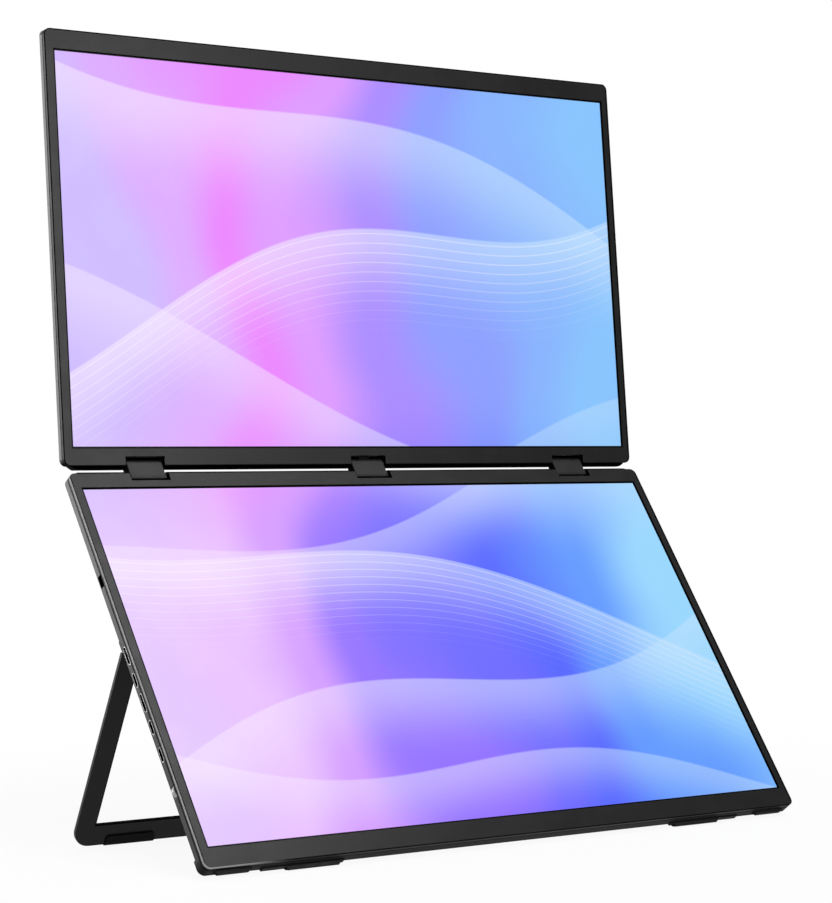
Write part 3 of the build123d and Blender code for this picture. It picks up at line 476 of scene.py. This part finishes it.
# %% [markdown]
# The bezel is a moulded frame with a spark-eroded grain of about a fifth of a millimetre: nearly black,
# and matte enough that its reflections spread into a soft fade. The covers are anodised aluminium, darker
# in the metal and brighter where they catch the lamp. Kickstand and links are painted metal, and the feet
# are plain black rubber.

# %% Outer finishes
finishes["bezel_black"] = make_finish(
    "bezel_black", "151515", "181818", "343434", gloss=(0.3, 0.34), specular=0.05, grain=4500, mottle=40,
    depth=0.000012, radius=0.00035, wear=0.35, dust=0.005)
finishes["cover_grey"] = make_finish(
    "cover_grey", "2e2e30", "323234", "6c6c6e", metallic=0.3, gloss=(0.34, 0.38), specular=0.16,
    grain=7000, mottle=25, depth=0.000006, radius=0.00035, wear=0.4, dust=0.008)
finishes["stand_metal"] = make_finish(
    "stand_metal", "121213", "161617", "4a4a4b", gloss=(0.34, 0.4), specular=0.13, grain=3500, mottle=45,
    depth=0.00001, radius=0.0003, wear=0.5, dust=0.004)
finishes["link_dark"] = make_finish(
    "link_dark", "1f1f1f", "232323", "5a5a5a", gloss=(0.34, 0.4), specular=0.05, grain=4500, mottle=120,
    depth=0.00001, radius=0.0002, wear=0.5, dust=0.0)
finishes["rubber_black"] = make_finish(
    "rubber_black", "060606", "090909", "1a1a1a", gloss=(0.42, 0.5), specular=0.05, grain=2500, mottle=150,
    depth=0.00002, radius=0.0004, wear=0.4, dust=0.06)
finishes["socket_steel"] = make_finish(
    "socket_steel", "a4a4a6", "b4b4b6", "e0e0e2", metallic=1.0, gloss=(0.24, 0.34), grain=5000, mottle=300,
    depth=0.000004, radius=0.0001, wear=0.8, dust=0.0, brushed=0.3)
finishes["dial_silver"] = make_finish(
    "dial_silver", "8e8e8e", "9a9a9a", "cccccc", metallic=0.8, gloss=(0.36, 0.44), grain=6000, mottle=300,
    depth=0.000006, radius=0.0001, wear=0.8, dust=0.0, brushed=0.2)
finishes["hinge_steel"] = make_finish(
    "hinge_steel", "121213", "18181a", "3c3c3e", metallic=0.7, gloss=(0.36, 0.46), grain=4000, mottle=120,
    depth=0.000008, radius=0.0002, wear=0.6, dust=0.02)
finishes["pin_steel"] = make_finish(
    "pin_steel", "161617", "1e1e1f", "3c3c3e", metallic=1.0, gloss=(0.22, 0.32), grain=6000, mottle=200,
    depth=0.000003, radius=0.0001, wear=0.6, dust=0.0, brushed=0.4)
finishes["screw_steel"] = make_finish(
    "screw_steel", "1e1e20", "2a2a2c", "6a6a6c", metallic=0.85, gloss=(0.34, 0.44), grain=5000, mottle=400,
    depth=0.000006, radius=0.00012, wear=0.7, dust=0.02)
print("outer finishes:", sorted(finishes))

# %% [markdown]
# What lies inside is dressed too, since the model can be taken apart: rolled zinc-plated trays, clear
# acrylic light guides, green circuit boards, dark ribbon cables with faint tracks, and the rows of
# light-emitting diodes.

# %% Inner finishes
finishes["tray_steel"] = make_finish(
    "tray_steel", "9c9ea0", "aeb0b2", "cccecf", metallic=1.0, gloss=(0.3, 0.42), grain=3000, mottle=90,
    depth=0.000005, radius=0.0001, wear=0.4, dust=0.02, brushed=0.5)
finishes["chip_epoxy"] = make_finish(
    "chip_epoxy", "161616", "1f1f20", "3a3a3a", gloss=(0.4, 0.6), grain=5000, mottle=300,
    depth=0.00001, radius=0.0001, wear=0.4, dust=0.05)
finishes["tongue_plastic"] = make_finish(
    "tongue_plastic", "040404", "060606", "0e0e0e", gloss=(0.4, 0.5), specular=0.02, grain=4000, mottle=300,
    depth=0.000008, radius=0.0001, wear=0.3, dust=0.0)
finishes["led_white"] = make_finish(
    "led_white", "d9d8cf", "e6e5dc", "f4f3ec", gloss=(0.35, 0.5), grain=4000, mottle=500,
    depth=0.000005, radius=0.0001, wear=0.3, dust=0.0)
finishes["clear_plastic"] = make_finish(
    "clear_plastic", "dfe6ea", "eef3f5", "ffffff", gloss=(0.05, 0.12), grain=1500, mottle=100,
    depth=0.000002, radius=0.0001, wear=0.2, dust=0.0)
finishes["smoked_plastic"] = make_finish(
    "smoked_plastic", "060606", "0a0a0a", "1c1c1c", gloss=(0.1, 0.2), specular=0.2, grain=3000, mottle=300,
    depth=0.000002, radius=0.0001, wear=0.2, dust=0.0)
clear_shader = shader_of(finishes["clear_plastic"].node_tree)
clear_shader.inputs["Transmission Weight"].default_value = 0.8
clear_shader.inputs["IOR"].default_value = 1.49
print("inner finishes so far:", len(finishes))

# %% [markdown]
# Circuit boards and ribbon cables also show fine tracks. They could be raised from the mesh, but they are
# thinner than a coat of paint, so a brick pattern draws them: its bricks are left clear and only the
# joints between them are painted.

# %% Boards and ribbon cables
def striped_finish(name, ground, second, track, brick_width, scale, gloss, specular):
    """A finish with fine tracks, as on a ribbon cable or a circuit board."""
    material = make_finish(
        name, ground, second, track, gloss=gloss, specular=specular, grain=3500, mottle=90,
        depth=0.000006, radius=0.0001, wear=0.2, dust=0.02)
    tree = material.node_tree
    shader = shader_of(tree)
    under = shader.inputs["Base Color"].links[0].from_socket
    tracks = tree.nodes.new("ShaderNodeTexBrick")
    tracks.inputs["Scale"].default_value = scale
    tracks.inputs["Mortar Size"].default_value = 0.03
    tracks.inputs["Brick Width"].default_value = brick_width
    tracks.inputs["Row Height"].default_value = 0.12
    tracks.inputs["Color1"].default_value = (0, 0, 0, 1)
    tracks.inputs["Color2"].default_value = (0, 0, 0, 1)
    tracks.inputs["Mortar"].default_value = (1, 1, 1, 1)
    tree.links.new(places_of(tree), tracks.inputs["Vector"])
    mask = maths(tree, "MULTIPLY", tracks.outputs["Fac"], 0.7)
    tree.links.new(blend_tones(tree, mask, under, tone(track)), shader.inputs["Base Color"])
    return material


finishes["circuit_board"] = striped_finish(
    "circuit_board", "0f3a24", "14472c", "2c6e48", brick_width=0.7, scale=260, gloss=(0.3, 0.42),
    specular=0.4)
finishes["ribbon_film"] = striped_finish(
    "ribbon_film", "040404", "060606", "0d0b08", brick_width=40.0, scale=900, gloss=(0.4, 0.5),
    specular=0.02)
print("all finishes but the display:", len(finishes))

# %% [markdown]
# ## The picture on the screens
# The two lit pictures carry one wallpaper of soft layered hills, which runs on from the upper screen to
# the lower one. An image file would do, but a node group stays sharp at any size. It works from a place
# on the panel. First comes a slow sweep of colour from lilac through magenta and violet to sky blue.

# %% Wallpaper: the colour sweep
paper_unit = 204.5 * mm
drift_width = 0.55

paper_group, paper_in, paper_out = start_group(
    "wallpaper", [("Vector", "NodeSocketVector", None)], [("Color", "NodeSocketColor")])
paper_axes = paper_group.nodes.new("ShaderNodeSeparateXYZ")
paper_group.links.new(paper_in.outputs["Vector"], paper_axes.inputs[0])
across = maths(paper_group, "DIVIDE", paper_axes.outputs["X"], paper_unit)
height = maths(paper_group, "DIVIDE", paper_axes.outputs["Z"], paper_unit)
clouds = paper_group.nodes.new("ShaderNodeTexNoise")
clouds.inputs["Scale"].default_value = 5.5
clouds.inputs["Detail"].default_value = 1
paper_group.links.new(paper_in.outputs["Vector"], clouds.inputs["Vector"])
drift = maths(paper_group, "SUBTRACT", clouds.outputs["Fac"], 0.5)
drift = maths(paper_group, "MULTIPLY", drift, drift_width)
sweep = maths(paper_group, "MULTIPLY", maths(paper_group, "ADD", across, 1.0), 0.5)
sweep = maths(paper_group, "ADD", sweep, drift)


def colour_sweep(tree, value, stops):
    """A colour ramp from a list of places and tones."""
    ramp = tree.nodes.new("ShaderNodeValToRGB")
    ramp.color_ramp.interpolation = "EASE"
    while len(ramp.color_ramp.elements) < len(stops):
        ramp.color_ramp.elements.new(0.5)
    for element, (place, code) in zip(ramp.color_ramp.elements, stops):
        element.position = place
        element.color = tone(code)
    tree.links.new(value, ramp.inputs["Fac"])
    return ramp.outputs["Color"]


upper_sweep = colour_sweep(paper_group, sweep, [
    (0.02, "cbb8ff"), (0.15, "dba6ff"), (0.27, "ea80ff"), (0.39, "dd98ff"),
    (0.52, "a988ff"), (0.68, "8a9cff"), (0.84, "86b4ff"), (0.98, "86c4ff")])
lower_sweep = colour_sweep(paper_group, sweep, [
    (0.02, "e0c2ff"), (0.22, "e6bcff"), (0.35, "d096ff"), (0.46, "8e68ff"),
    (0.56, "6662ff"), (0.68, "4c60ff"), (0.82, "5c98ff"), (1.0, "98d8ff")])
crest_tone = colour_sweep(paper_group, sweep, [(0.3, "f6e8ff"), (0.85, "c4e4ff")])
low_share = eased(paper_group, height, 0.25, -0.35)
picture = blend_tones(paper_group, low_share, upper_sweep, lower_sweep)
print("colour sweep made with", len(paper_group.nodes), "nodes")

# %% [markdown]
# Over the sweep lie wavy layers. Each is a sine wave on a sloping line, brightest along its crest and
# clearing below it, and some carry fine combed lines that follow the crest.

# %% Wallpaper: the layered hills
def hill_layer(tree, picture, rise, tilt, swing, pace, phase, light, glow, lines=0.0, line_step=0.0):
    """Lays one wavy hill over the picture: a bright crest and a slope that clears below it."""
    wave_at = maths(tree, "ADD", maths(tree, "MULTIPLY", across, pace), phase)
    wave = maths(tree, "MULTIPLY", maths(tree, "SINE", wave_at), swing)
    line = maths(tree, "ADD", maths(tree, "MULTIPLY", across, tilt), rise)
    crest = maths(tree, "ADD", wave, line)
    below = maths(tree, "SUBTRACT", crest, height)
    inside = eased(tree, below, -crest_softness, crest_softness)
    slope = eased(tree, below, glow, 0.0)
    bright = maths(tree, "MULTIPLY", maths(tree, "MULTIPLY", slope, slope), light)
    picture = blend_tones(tree, maths(tree, "MULTIPLY", inside, bright), picture, crest_tone)
    if lines:
        comb = maths(tree, "PINGPONG", maths(tree, "MULTIPLY", below, line_step), 0.5)
        thin = eased(tree, comb, 0.40, 0.5, 0.0, lines)
        fading = maths(tree, "MULTIPLY", maths(tree, "MULTIPLY", thin, slope), inside)
        picture = blend_tones(tree, fading, picture, line_colour)
    return picture


crest_softness = 0.004
line_colour = (1.0, 0.97, 1.0, 1.0)
hills = [
    {"rise": 0.98, "tilt": -0.30, "swing": 0.13, "pace": 2.3, "phase": 0.6, "light": 0.50, "glow": 0.42},
    {"rise": 0.62, "tilt": 0.28, "swing": 0.12, "pace": 2.9, "phase": 2.2, "light": 0.55, "glow": 0.36,
     "lines": 0.4, "line_step": 34.0},
    {"rise": 0.22, "tilt": -0.22, "swing": 0.14, "pace": 2.1, "phase": 4.0, "light": 0.40, "glow": 0.38},
    {"rise": -0.10, "tilt": 0.20, "swing": 0.11, "pace": 2.6, "phase": 5.2, "light": 0.36, "glow": 0.32},
    {"rise": -0.42, "tilt": -0.26, "swing": 0.13, "pace": 2.4, "phase": 1.2, "light": 0.46, "glow": 0.36,
     "lines": 0.4, "line_step": 38.0},
    {"rise": -0.74, "tilt": 0.24, "swing": 0.12, "pace": 2.7, "phase": 3.1, "light": 0.42, "glow": 0.34},
    {"rise": -1.02, "tilt": -0.14, "swing": 0.08, "pace": 3.1, "phase": 0.3, "light": 0.38, "glow": 0.26},
]
for hill in hills:
    picture = hill_layer(paper_group, picture, **hill)
paper_group.links.new(picture, paper_out.inputs["Color"])
print(paper_group.name, len(paper_group.nodes), "nodes")

# %% [markdown]
# ## Display glass
# A display cell is two sheets of glass with a matte polariser on top. Its picture could be a lamp behind
# clear glass, but that is slow to render and noisy, so the matte surface itself gives off the picture. It
# looks the picture up in the panel's own directions, and so it leans with the panel.

# %% Display finishes
def panel_vector(tree, panel):
    """Places in the panel's own directions: across, depth, and height that runs up the panel."""
    flat = tree.nodes.new("ShaderNodeMapping")
    flat.vector_type = "TEXTURE"
    flat.inputs["Location"].default_value = panels[panel]["origin"]
    flat.inputs["Rotation"].default_value = (-panels[panel]["lean"], 0, 0)
    tree.links.new(places_of(tree), flat.inputs["Vector"])
    return flat.outputs["Vector"]


def lit_finish(name, panel):
    """Matte display glass with the wallpaper glowing behind it."""
    material = bpy.data.materials.new(name)
    material.use_nodes = True
    tree = material.node_tree
    tree.nodes.clear()
    shader = tree.nodes.new("ShaderNodeBsdfPrincipled")
    output = tree.nodes.new("ShaderNodeOutputMaterial")
    places = tree.nodes.new("ShaderNodeTexCoord").outputs["Object"]
    paper = place_group(tree, paper_group)
    tree.links.new(panel_vector(tree, panel), paper.inputs["Vector"])
    surface = place_group(tree, grain_group)
    surface.inputs["Grain"].default_value = 6000
    surface.inputs["Mottle"].default_value = 25
    tree.links.new(places, surface.inputs["Vector"])
    bump = tree.nodes.new("ShaderNodeBump")
    bump.inputs["Distance"].default_value = 0.000002
    tree.links.new(surface.outputs["Height"], bump.inputs["Height"])
    tree.links.new(bump.outputs["Normal"], shader.inputs["Normal"])
    roughness = eased(tree, surface.outputs["Mottle"], 0.0, 1.0, 0.34, 0.40)
    tree.links.new(roughness, shader.inputs["Roughness"])
    shader.inputs["Base Color"].default_value = (0.01, 0.01, 0.012, 1)
    shader.inputs["Specular IOR Level"].default_value = 0.06
    shader.inputs["Emission Strength"].default_value = picture_strength
    tree.links.new(paper.outputs["Color"], shader.inputs["Emission Color"])
    tree.links.new(shader.outputs[0], output.inputs["Surface"])
    return material


picture_strength = 0.96
lit = {panel: lit_finish(panel + "_picture", panel) for panel in panels}
finishes["display_glass"] = make_finish(
    "display_border", "020203", "040406", "101012", gloss=(0.3, 0.4), specular=0.03, grain=5000, mottle=100,
    depth=0.000002, radius=0.0001, wear=0.2, dust=0.0)
print("display finishes:", [m.name for m in lit.values()])

# %% [markdown]
# Only the middle of a cell lights up: a black border, which shows as a thin line inside the bezel, hides
# the wiring. The lit area could be a second sheet laid on the first, but one block can't part or flicker.
# A primitive block is set at the cell's size and lean, its outer edges are bevelled as ground glass edges
# are, and it is cut along the four sides of the lit area with bisect.

# %% Display cells
cell_border = 2.0 * mm
cell_ledge = 2.5 * mm
cell_front = 0.7 * mm
cell_thickness = 0.9 * mm
cell_bevel = 0.12 * mm
lit_half = active_width / 2
lit_low = hinge_bezel
lit_high = hinge_bezel + active_height


def display_cell(panel):
    """One display cell, with its lit area cut into its face."""
    low = lit_low - cell_border
    high = lit_high + cell_ledge
    centre = panel_point(panel, 0, (low + high) / 2, cell_front + cell_thickness / 2)
    bpy.ops.object.select_all(action="DESELECT")
    bpy.ops.mesh.primitive_cube_add(size=1, location=centre, rotation=(-panels[panel]["lean"], 0, 0))
    cell = bpy.context.object
    cell.name = panel + "_display"
    cell.scale = (2 * (lit_half + cell_border), cell_thickness, high - low)
    bpy.ops.object.transform_apply(location=True, rotation=True, scale=True)
    up = panel_point(panel, 0, 1, 0) - panel_point(panel, 0, 0, 0)
    bpy.ops.object.mode_set(mode="EDIT")
    bpy.ops.mesh.select_all(action="SELECT")
    bpy.ops.mesh.bevel(offset=cell_bevel, segments=2, affect="EDGES")
    for across, along, normal in (
        (-lit_half, 0, Vector((1, 0, 0))),
        (lit_half, 0, Vector((1, 0, 0))),
        (0, lit_low, up),
        (0, lit_high, up),
    ):
        bpy.ops.mesh.select_all(action="SELECT")
        bpy.ops.mesh.bisect(plane_co=panel_point(panel, across, along, 0), plane_no=normal)
    bpy.ops.object.mode_set(mode="OBJECT")
    cell.data.materials.append(finishes["display_glass"])
    cell.data.materials.append(lit[panel])
    front = panel_point(panel, 0, 0, -1) - panel_point(panel, 0, 0, 0)
    middle = panel_point(panel, 0, (lit_low + lit_high) / 2, cell_front)
    for face in cell.data.polygons:
        away = face.center - middle
        on_face = face.normal.dot(front) > 0.99
        if on_face and abs(away.x) < lit_half and abs(away.dot(up)) < active_height / 2:
            face.material_index = 1
    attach(cell, panel + "_panel")
    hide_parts(panel + "_lcd_cell")
    print(cell.name, "lit faces:", sum(f.material_index for f in cell.data.polygons))


for panel in panels:
    display_cell(panel)

# %% [markdown]
# ## Dressing the solids
# The other solids keep their shape and take a finish. The record names a material slot for every one.
# Some get a finish of their own instead, with shade painted on by masks, which find their places in the
# panel's own directions.

# %% Masks that bezels and covers share
def panel_axes(tree, panel):
    """The panel's own directions, one by one: X across, Y for depth, and Z up the panel."""
    axes = tree.nodes.new("ShaderNodeSeparateXYZ")
    tree.links.new(panel_vector(tree, panel), axes.inputs[0])
    return axes


def paint_over(tree, mask, code):
    """Lays another tone over a finish where the mask is one."""
    shader = shader_of(tree)
    under = shader.inputs["Base Color"].links[0].from_socket
    tree.links.new(blend_tones(tree, mask, under, tone(code)), shader.inputs["Base Color"])
    return shader


def paint_shade(tree, mask):
    """Paints shade: turns a finish black where the mask is one, and takes its sheen as well."""
    shader = paint_over(tree, mask, shade_tone)
    metallic = shader.inputs["Metallic"]
    roughness = shader.inputs["Roughness"]
    shine = metallic.links[0].from_socket if metallic.links else metallic.default_value
    tree.links.new(maths(tree, "MAXIMUM", mask, shine), metallic)
    tree.links.new(maths(tree, "MAXIMUM", mask, roughness.links[0].from_socket), roughness)


def all_of(tree, *masks):
    """One where every mask is one."""
    shared = masks[0]
    for mask in masks[1:]:
        shared = maths(tree, "MULTIPLY", shared, mask)
    return shared


def parting_line(tree, axes):
    """Mask of the painted shade in the fine gap where the bezel meets the cover."""
    away = maths(tree, "ABSOLUTE", maths(tree, "SUBTRACT", axes.outputs["Y"], bezel_depth))
    return eased(tree, away, gap_fades, gap_half, 0.0, 0.8)


def hinge_black(tree, axes, along):
    """Mask of the hinge notches and the lip, which lie in the shade between the panels."""
    from_middle = maths(tree, "ABSOLUTE", axes.outputs["X"])
    near = maths(tree, "LESS_THAN", along, notch_reach)
    inner = maths(tree, "LESS_THAN", from_middle, panel_width / 2 - notch_inset)
    sunk = maths(tree, "GREATER_THAN", axes.outputs["Y"], skin)
    forward = maths(tree, "LESS_THAN", axes.outputs["Y"], edge_depth - skin)
    return all_of(tree, near, inner, sunk, forward)


shade_tone = "010101"
bezel_depth = 2.8 * mm
gap_half = 0.24 * mm
gap_fades = 0.34 * mm
notch_reach = 5.3 * mm
notch_inset = 0.6 * mm
skin = 0.3 * mm
print("bezel and cover meet", round(bezel_depth / mm, 2), "mm behind the face")

# %% [markdown]
# Some shade is painted on, because soft studio light doesn't reach the depth of shadow that the
# photograph has in its narrow places. One such place is the bezel's window: its walls are black, and so
# is a fine line around it.

# %% Mask of the window
screen_border = 0.7 * mm
window_line_full = 0.35 * mm
window_line_ends = 0.6 * mm


def window_line(tree, axes, along):
    """Mask of the painted shade on the window's walls and in a fine line around it."""
    from_middle = maths(tree, "ABSOLUTE", axes.outputs["X"])
    beside = maths(tree, "SUBTRACT", from_middle, active_width / 2 + screen_border)
    below = maths(tree, "SUBTRACT", hinge_bezel - screen_border, along)
    above = maths(tree, "SUBTRACT", along, hinge_bezel + active_height + screen_border)
    away = maths(tree, "MAXIMUM", beside, maths(tree, "MAXIMUM", below, above))
    return eased(tree, away, window_line_ends, window_line_full)


print("the line around the window is", round(window_line_full / mm, 2), "mm wide before it fades")

# %% [markdown]
# The outer rounding of a bezel is painted black as shade too, which draws a thin dark outline. Down the
# left side of the lower panel and round its near corner the photograph shows a bright line instead, so the
# rounding there gets a painted highlight. The far ends of the bezels and of the lower cover are darkened
# with painted shade.

# %% Masks of the outline
round_width = 3 * mm
round_starts = 0.01 * mm
round_full = 0.06 * mm
face_skin = 0.04 * mm
soft_edge = 0.15 * mm


def outer_round(tree, axes, along, reach):
    """Mask of the rounding between the bezel's face and its outer walls, down to a depth on the wall."""
    from_middle = maths(tree, "ABSOLUTE", axes.outputs["X"])
    at_side = maths(tree, "GREATER_THAN", from_middle, panel_width / 2 - round_width)
    at_end = maths(tree, "GREATER_THAN", along, panel_height - round_width)
    outside = maths(tree, "MAXIMUM", at_side, at_end)
    past_face = eased(tree, axes.outputs["Y"], round_starts, round_full)
    before_wall = eased(tree, axes.outputs["Y"], reach + soft_edge, reach)
    return all_of(tree, outside, past_face, before_wall)


def edge_line(tree, axes, along, left, right, end):
    """Mask of the dark line of painted shade on the face just inside the outer rounding, as wide as asked
    on each side.
    """
    to_left = maths(tree, "MULTIPLY", axes.outputs["X"], -1.0)
    past_left = maths(tree, "ADD", to_left, left - panel_width / 2)
    past_right = maths(tree, "ADD", axes.outputs["X"], right - panel_width / 2)
    past_end = maths(tree, "ADD", along, end - panel_height)
    outward = maths(tree, "MAXIMUM", past_left, maths(tree, "MAXIMUM", past_right, past_end))
    on_face = maths(tree, "LESS_THAN", axes.outputs["Y"], face_skin)
    return all_of(tree, on_face, eased(tree, outward, -soft_edge, 0.0))


def shade_end(tree, along, reach, strength):
    """Paints shade on the panel's far end, within a reach of it."""
    paint_shade(tree, eased(tree, along, panel_height - reach, panel_height - reach / 2, 0.0, strength))


print("the rounding counts up to", round(round_width / mm, 2), "mm from the outer walls")

# %% [markdown]
# Each bezel takes a copy of the bezel finish with these masks laid over it, because the masks find their
# places in the directions of its own panel. The dark line of painted shade just inside the rounding is
# widest on the right, as in the photograph.

# %% Bezel finishes
def start_shading(slot, panel):
    """Copies a finish for one panel, and gives the panel's directions and the distance from its hinge."""
    material = finishes[slot].copy()
    material.name = panel + "_" + slot
    tree = material.node_tree
    axes = panel_axes(tree, panel)
    along = maths(tree, "MULTIPLY", axes.outputs["Z"], panels[panel]["way"])
    return material, tree, axes, along


def bezel_finish(panel, has_painted_highlight, line_widths):
    """The bezel's finish with its masks; the lines are as wide as asked on the left, right and far side."""
    material, tree, axes, along = start_shading("bezel_black", panel)
    shade_end(tree, along, bezel_end_reach, bezel_end_shade)
    black = maths(tree, "MAXIMUM", parting_line(tree, axes), hinge_black(tree, axes, along))
    black = maths(tree, "MAXIMUM", black, window_line(tree, axes, along))
    black = maths(tree, "MAXIMUM", black, edge_line(tree, axes, along, *line_widths))
    rounding = outer_round(tree, axes, along, dark_round)
    # The lower bezel's left rounding gets a painted highlight in place of the painted shade.
    if has_painted_highlight:
        from_left = maths(tree, "ADD", axes.outputs["X"], panel_width / 2)
        left = eased(tree, from_left, bright_ends, bright_full)
        paint_over(tree, all_of(tree, outer_round(tree, axes, along, bright_round), left), painted_highlight_tone)
        rounding = all_of(tree, rounding, maths(tree, "SUBTRACT", 1.0, left))
    # Painted shade over the parting line, the notches, the window's line, the edge line and the rounding.
    paint_shade(tree, maths(tree, "MAXIMUM", black, rounding))
    return material


bezel_end_reach = 0.2 * mm
bezel_end_shade = 0.45
dark_round = 0.6 * mm
# Reach, fade and tone of the painted highlight down the lower bezel's left rounding.
bright_round = 1.15 * mm
bright_full = 15 * mm
bright_ends = 60 * mm
painted_highlight_tone = "a2a2a2"
thin_line = 0.8 * mm
wide_line = 1.5 * mm
dressed = {
    "upper_front_bezel": bezel_finish("upper", False, (0, wide_line, thin_line)),
    "lower_front_bezel": bezel_finish("lower", True, (thin_line, wide_line, 0)),
}
print("bezel finishes:", [m.name for m in dressed.values()])

# %% [markdown]
# The covers share the painted shade of the parting line and of the hinge notches with the bezels. The lower
# cover has openings in its left wall: a dark slot high up and a row of sockets below it. The inside of
# these openings is painted black as shade, so that they read as holes under a soft light too.

# %% Cover finishes
def cover_finish(panel, openings, end_shade):
    """The cover's finish with painted shade in its parting line, hinge notches, lip and the openings in its
    left wall.
    """
    material, tree, axes, along = start_shading("cover_grey", panel)
    black = maths(tree, "MAXIMUM", parting_line(tree, axes), hinge_black(tree, axes, along))
    shade_end(tree, along, cover_end_reach, end_shade)
    from_left = maths(tree, "ADD", axes.outputs["X"], panel_width / 2)
    inside = maths(tree, "GREATER_THAN", from_left, opening_rim)
    wall = maths(tree, "LESS_THAN", from_left, opening_depth)
    forward = maths(tree, "LESS_THAN", axes.outputs["Y"], edge_depth - back_skin)
    for start, end in openings:
        after = maths(tree, "GREATER_THAN", along, start)
        before = maths(tree, "LESS_THAN", along, end)
        black = maths(tree, "MAXIMUM", black, all_of(tree, inside, wall, forward, after, before))
    # Painted shade in the parting line, the notches, the lip and the openings.
    paint_shade(tree, black)
    return material


cover_end_reach = 10 * mm
opening_rim = 0.06 * mm
opening_depth = 6 * mm
back_skin = 0.35 * mm
side_slot = (67.3 * mm, 75.2 * mm)
socket_row = (105 * mm, 212 * mm)
dressed["upper_back_cover"] = cover_finish("upper", [], end_shade=0.0)
dressed["lower_back_cover"] = cover_finish("lower", [side_slot, socket_row], end_shade=0.7)
print("cover finishes:", [m.name for m in dressed.values()][2:])

# %% [markdown]
# Each socket is a folded steel shell. Only its rim catches the light, so further in the shell is painted
# black as shade. The two status lights are off and look like smoked plastic. The washers of the hinges sit
# deep in the notches, so they take the black finish of the feet as painted shade.

# %% Sockets and status lights
rim_ends = -panel_width / 2 + 0.18 * mm
shell_tree = finishes["socket_steel"].node_tree
shell_across = panel_axes(shell_tree, "lower").outputs["X"]
# Painted shade inside each socket shell, behind its rim.
paint_shade(shell_tree, maths(shell_tree, "GREATER_THAN", shell_across, rim_ends))
dressed["light_pipes"] = finishes["smoked_plastic"]
# Painted shade: the hinge washers take the black rubber finish.
dressed["friction_washers"] = finishes["rubber_black"]
print("sockets are black from", round((rim_ends + panel_width / 2) / mm, 2), "mm behind the wall")

# %% [markdown]
# Links and kickstand get painted shade in the same way. The sides of a hinge link are painted black as
# shade, and its bent foot is painted a little paler than its face as painted light, because it faces away
# from the
# lamps. The cut edge inside the kickstand's window is painted dark as shade. A mask finds these places
# again:
# for a link by the distance from the middle of the nearest hinge and from the hinge edge. The kickstand
# counts as one more panel, which hangs from its pivot, and its window is found by the distance down from
# there and from its middle.

# %% Links and kickstand
hinge_spacing = 158 * mm
link_side_starts = 11.87 * mm
link_foot_start = 1.75 * mm
link_foot_painted_light = "262626"
panels["stand"] = {"origin": Vector((0, -0.475, 116.552)) * mm, "lean": radians(-28.08), "way": -1}
stand_window_end = 116.45 * mm
stand_window_half = 197.6 * mm
cut_edge_full = 0.5 * mm
cut_edge_ends = 0.8 * mm

link_tree = finishes["link_dark"].node_tree
link_axes = panel_axes(link_tree, "lower")
link_along = maths(link_tree, "MULTIPLY", link_axes.outputs["Z"], -1.0)
# Painted light: each link's bent foot is paler than its face.
paint_over(link_tree, maths(link_tree, "GREATER_THAN", link_along, link_foot_start), link_foot_painted_light)
link_away = maths(link_tree, "ABSOLUTE", link_axes.outputs["X"])
beside = maths(link_tree, "ABSOLUTE", maths(link_tree, "SUBTRACT", link_away, hinge_spacing))
from_hinge = maths(link_tree, "MINIMUM", link_away, beside)
# Painted shade on the sides of each link.
paint_shade(link_tree, maths(link_tree, "GREATER_THAN", from_hinge, link_side_starts))

stand_tree = finishes["stand_metal"].node_tree
stand_axes = panel_axes(stand_tree, "stand")
stand_along = maths(stand_tree, "MULTIPLY", stand_axes.outputs["Z"], -1.0)
beyond_end = maths(stand_tree, "SUBTRACT", stand_along, stand_window_end)
from_middle = maths(stand_tree, "ABSOLUTE", stand_axes.outputs["X"])
beyond_side = maths(stand_tree, "SUBTRACT", from_middle, stand_window_half)
beyond_window = maths(stand_tree, "MAXIMUM", beyond_side, beyond_end)
# Painted shade on the cut edge inside the kickstand's window.
paint_shade(stand_tree, eased(stand_tree, beyond_window, cut_edge_ends, cut_edge_full))
print("link sides are black from", round(link_side_starts / mm, 2), "mm off the middle of a hinge")

# %% [markdown]
# Now every solid takes its finish: the one made for it, or else the one that its material slot names.

# %% Finishes on the solids
for part in frame["record"]["subparts"]:
    solid = frame["nodes"][part["node"]]
    solid.data.materials.clear()
    solid.data.materials.append(dressed.get(part["node"], finishes[part["material_slot"]]))
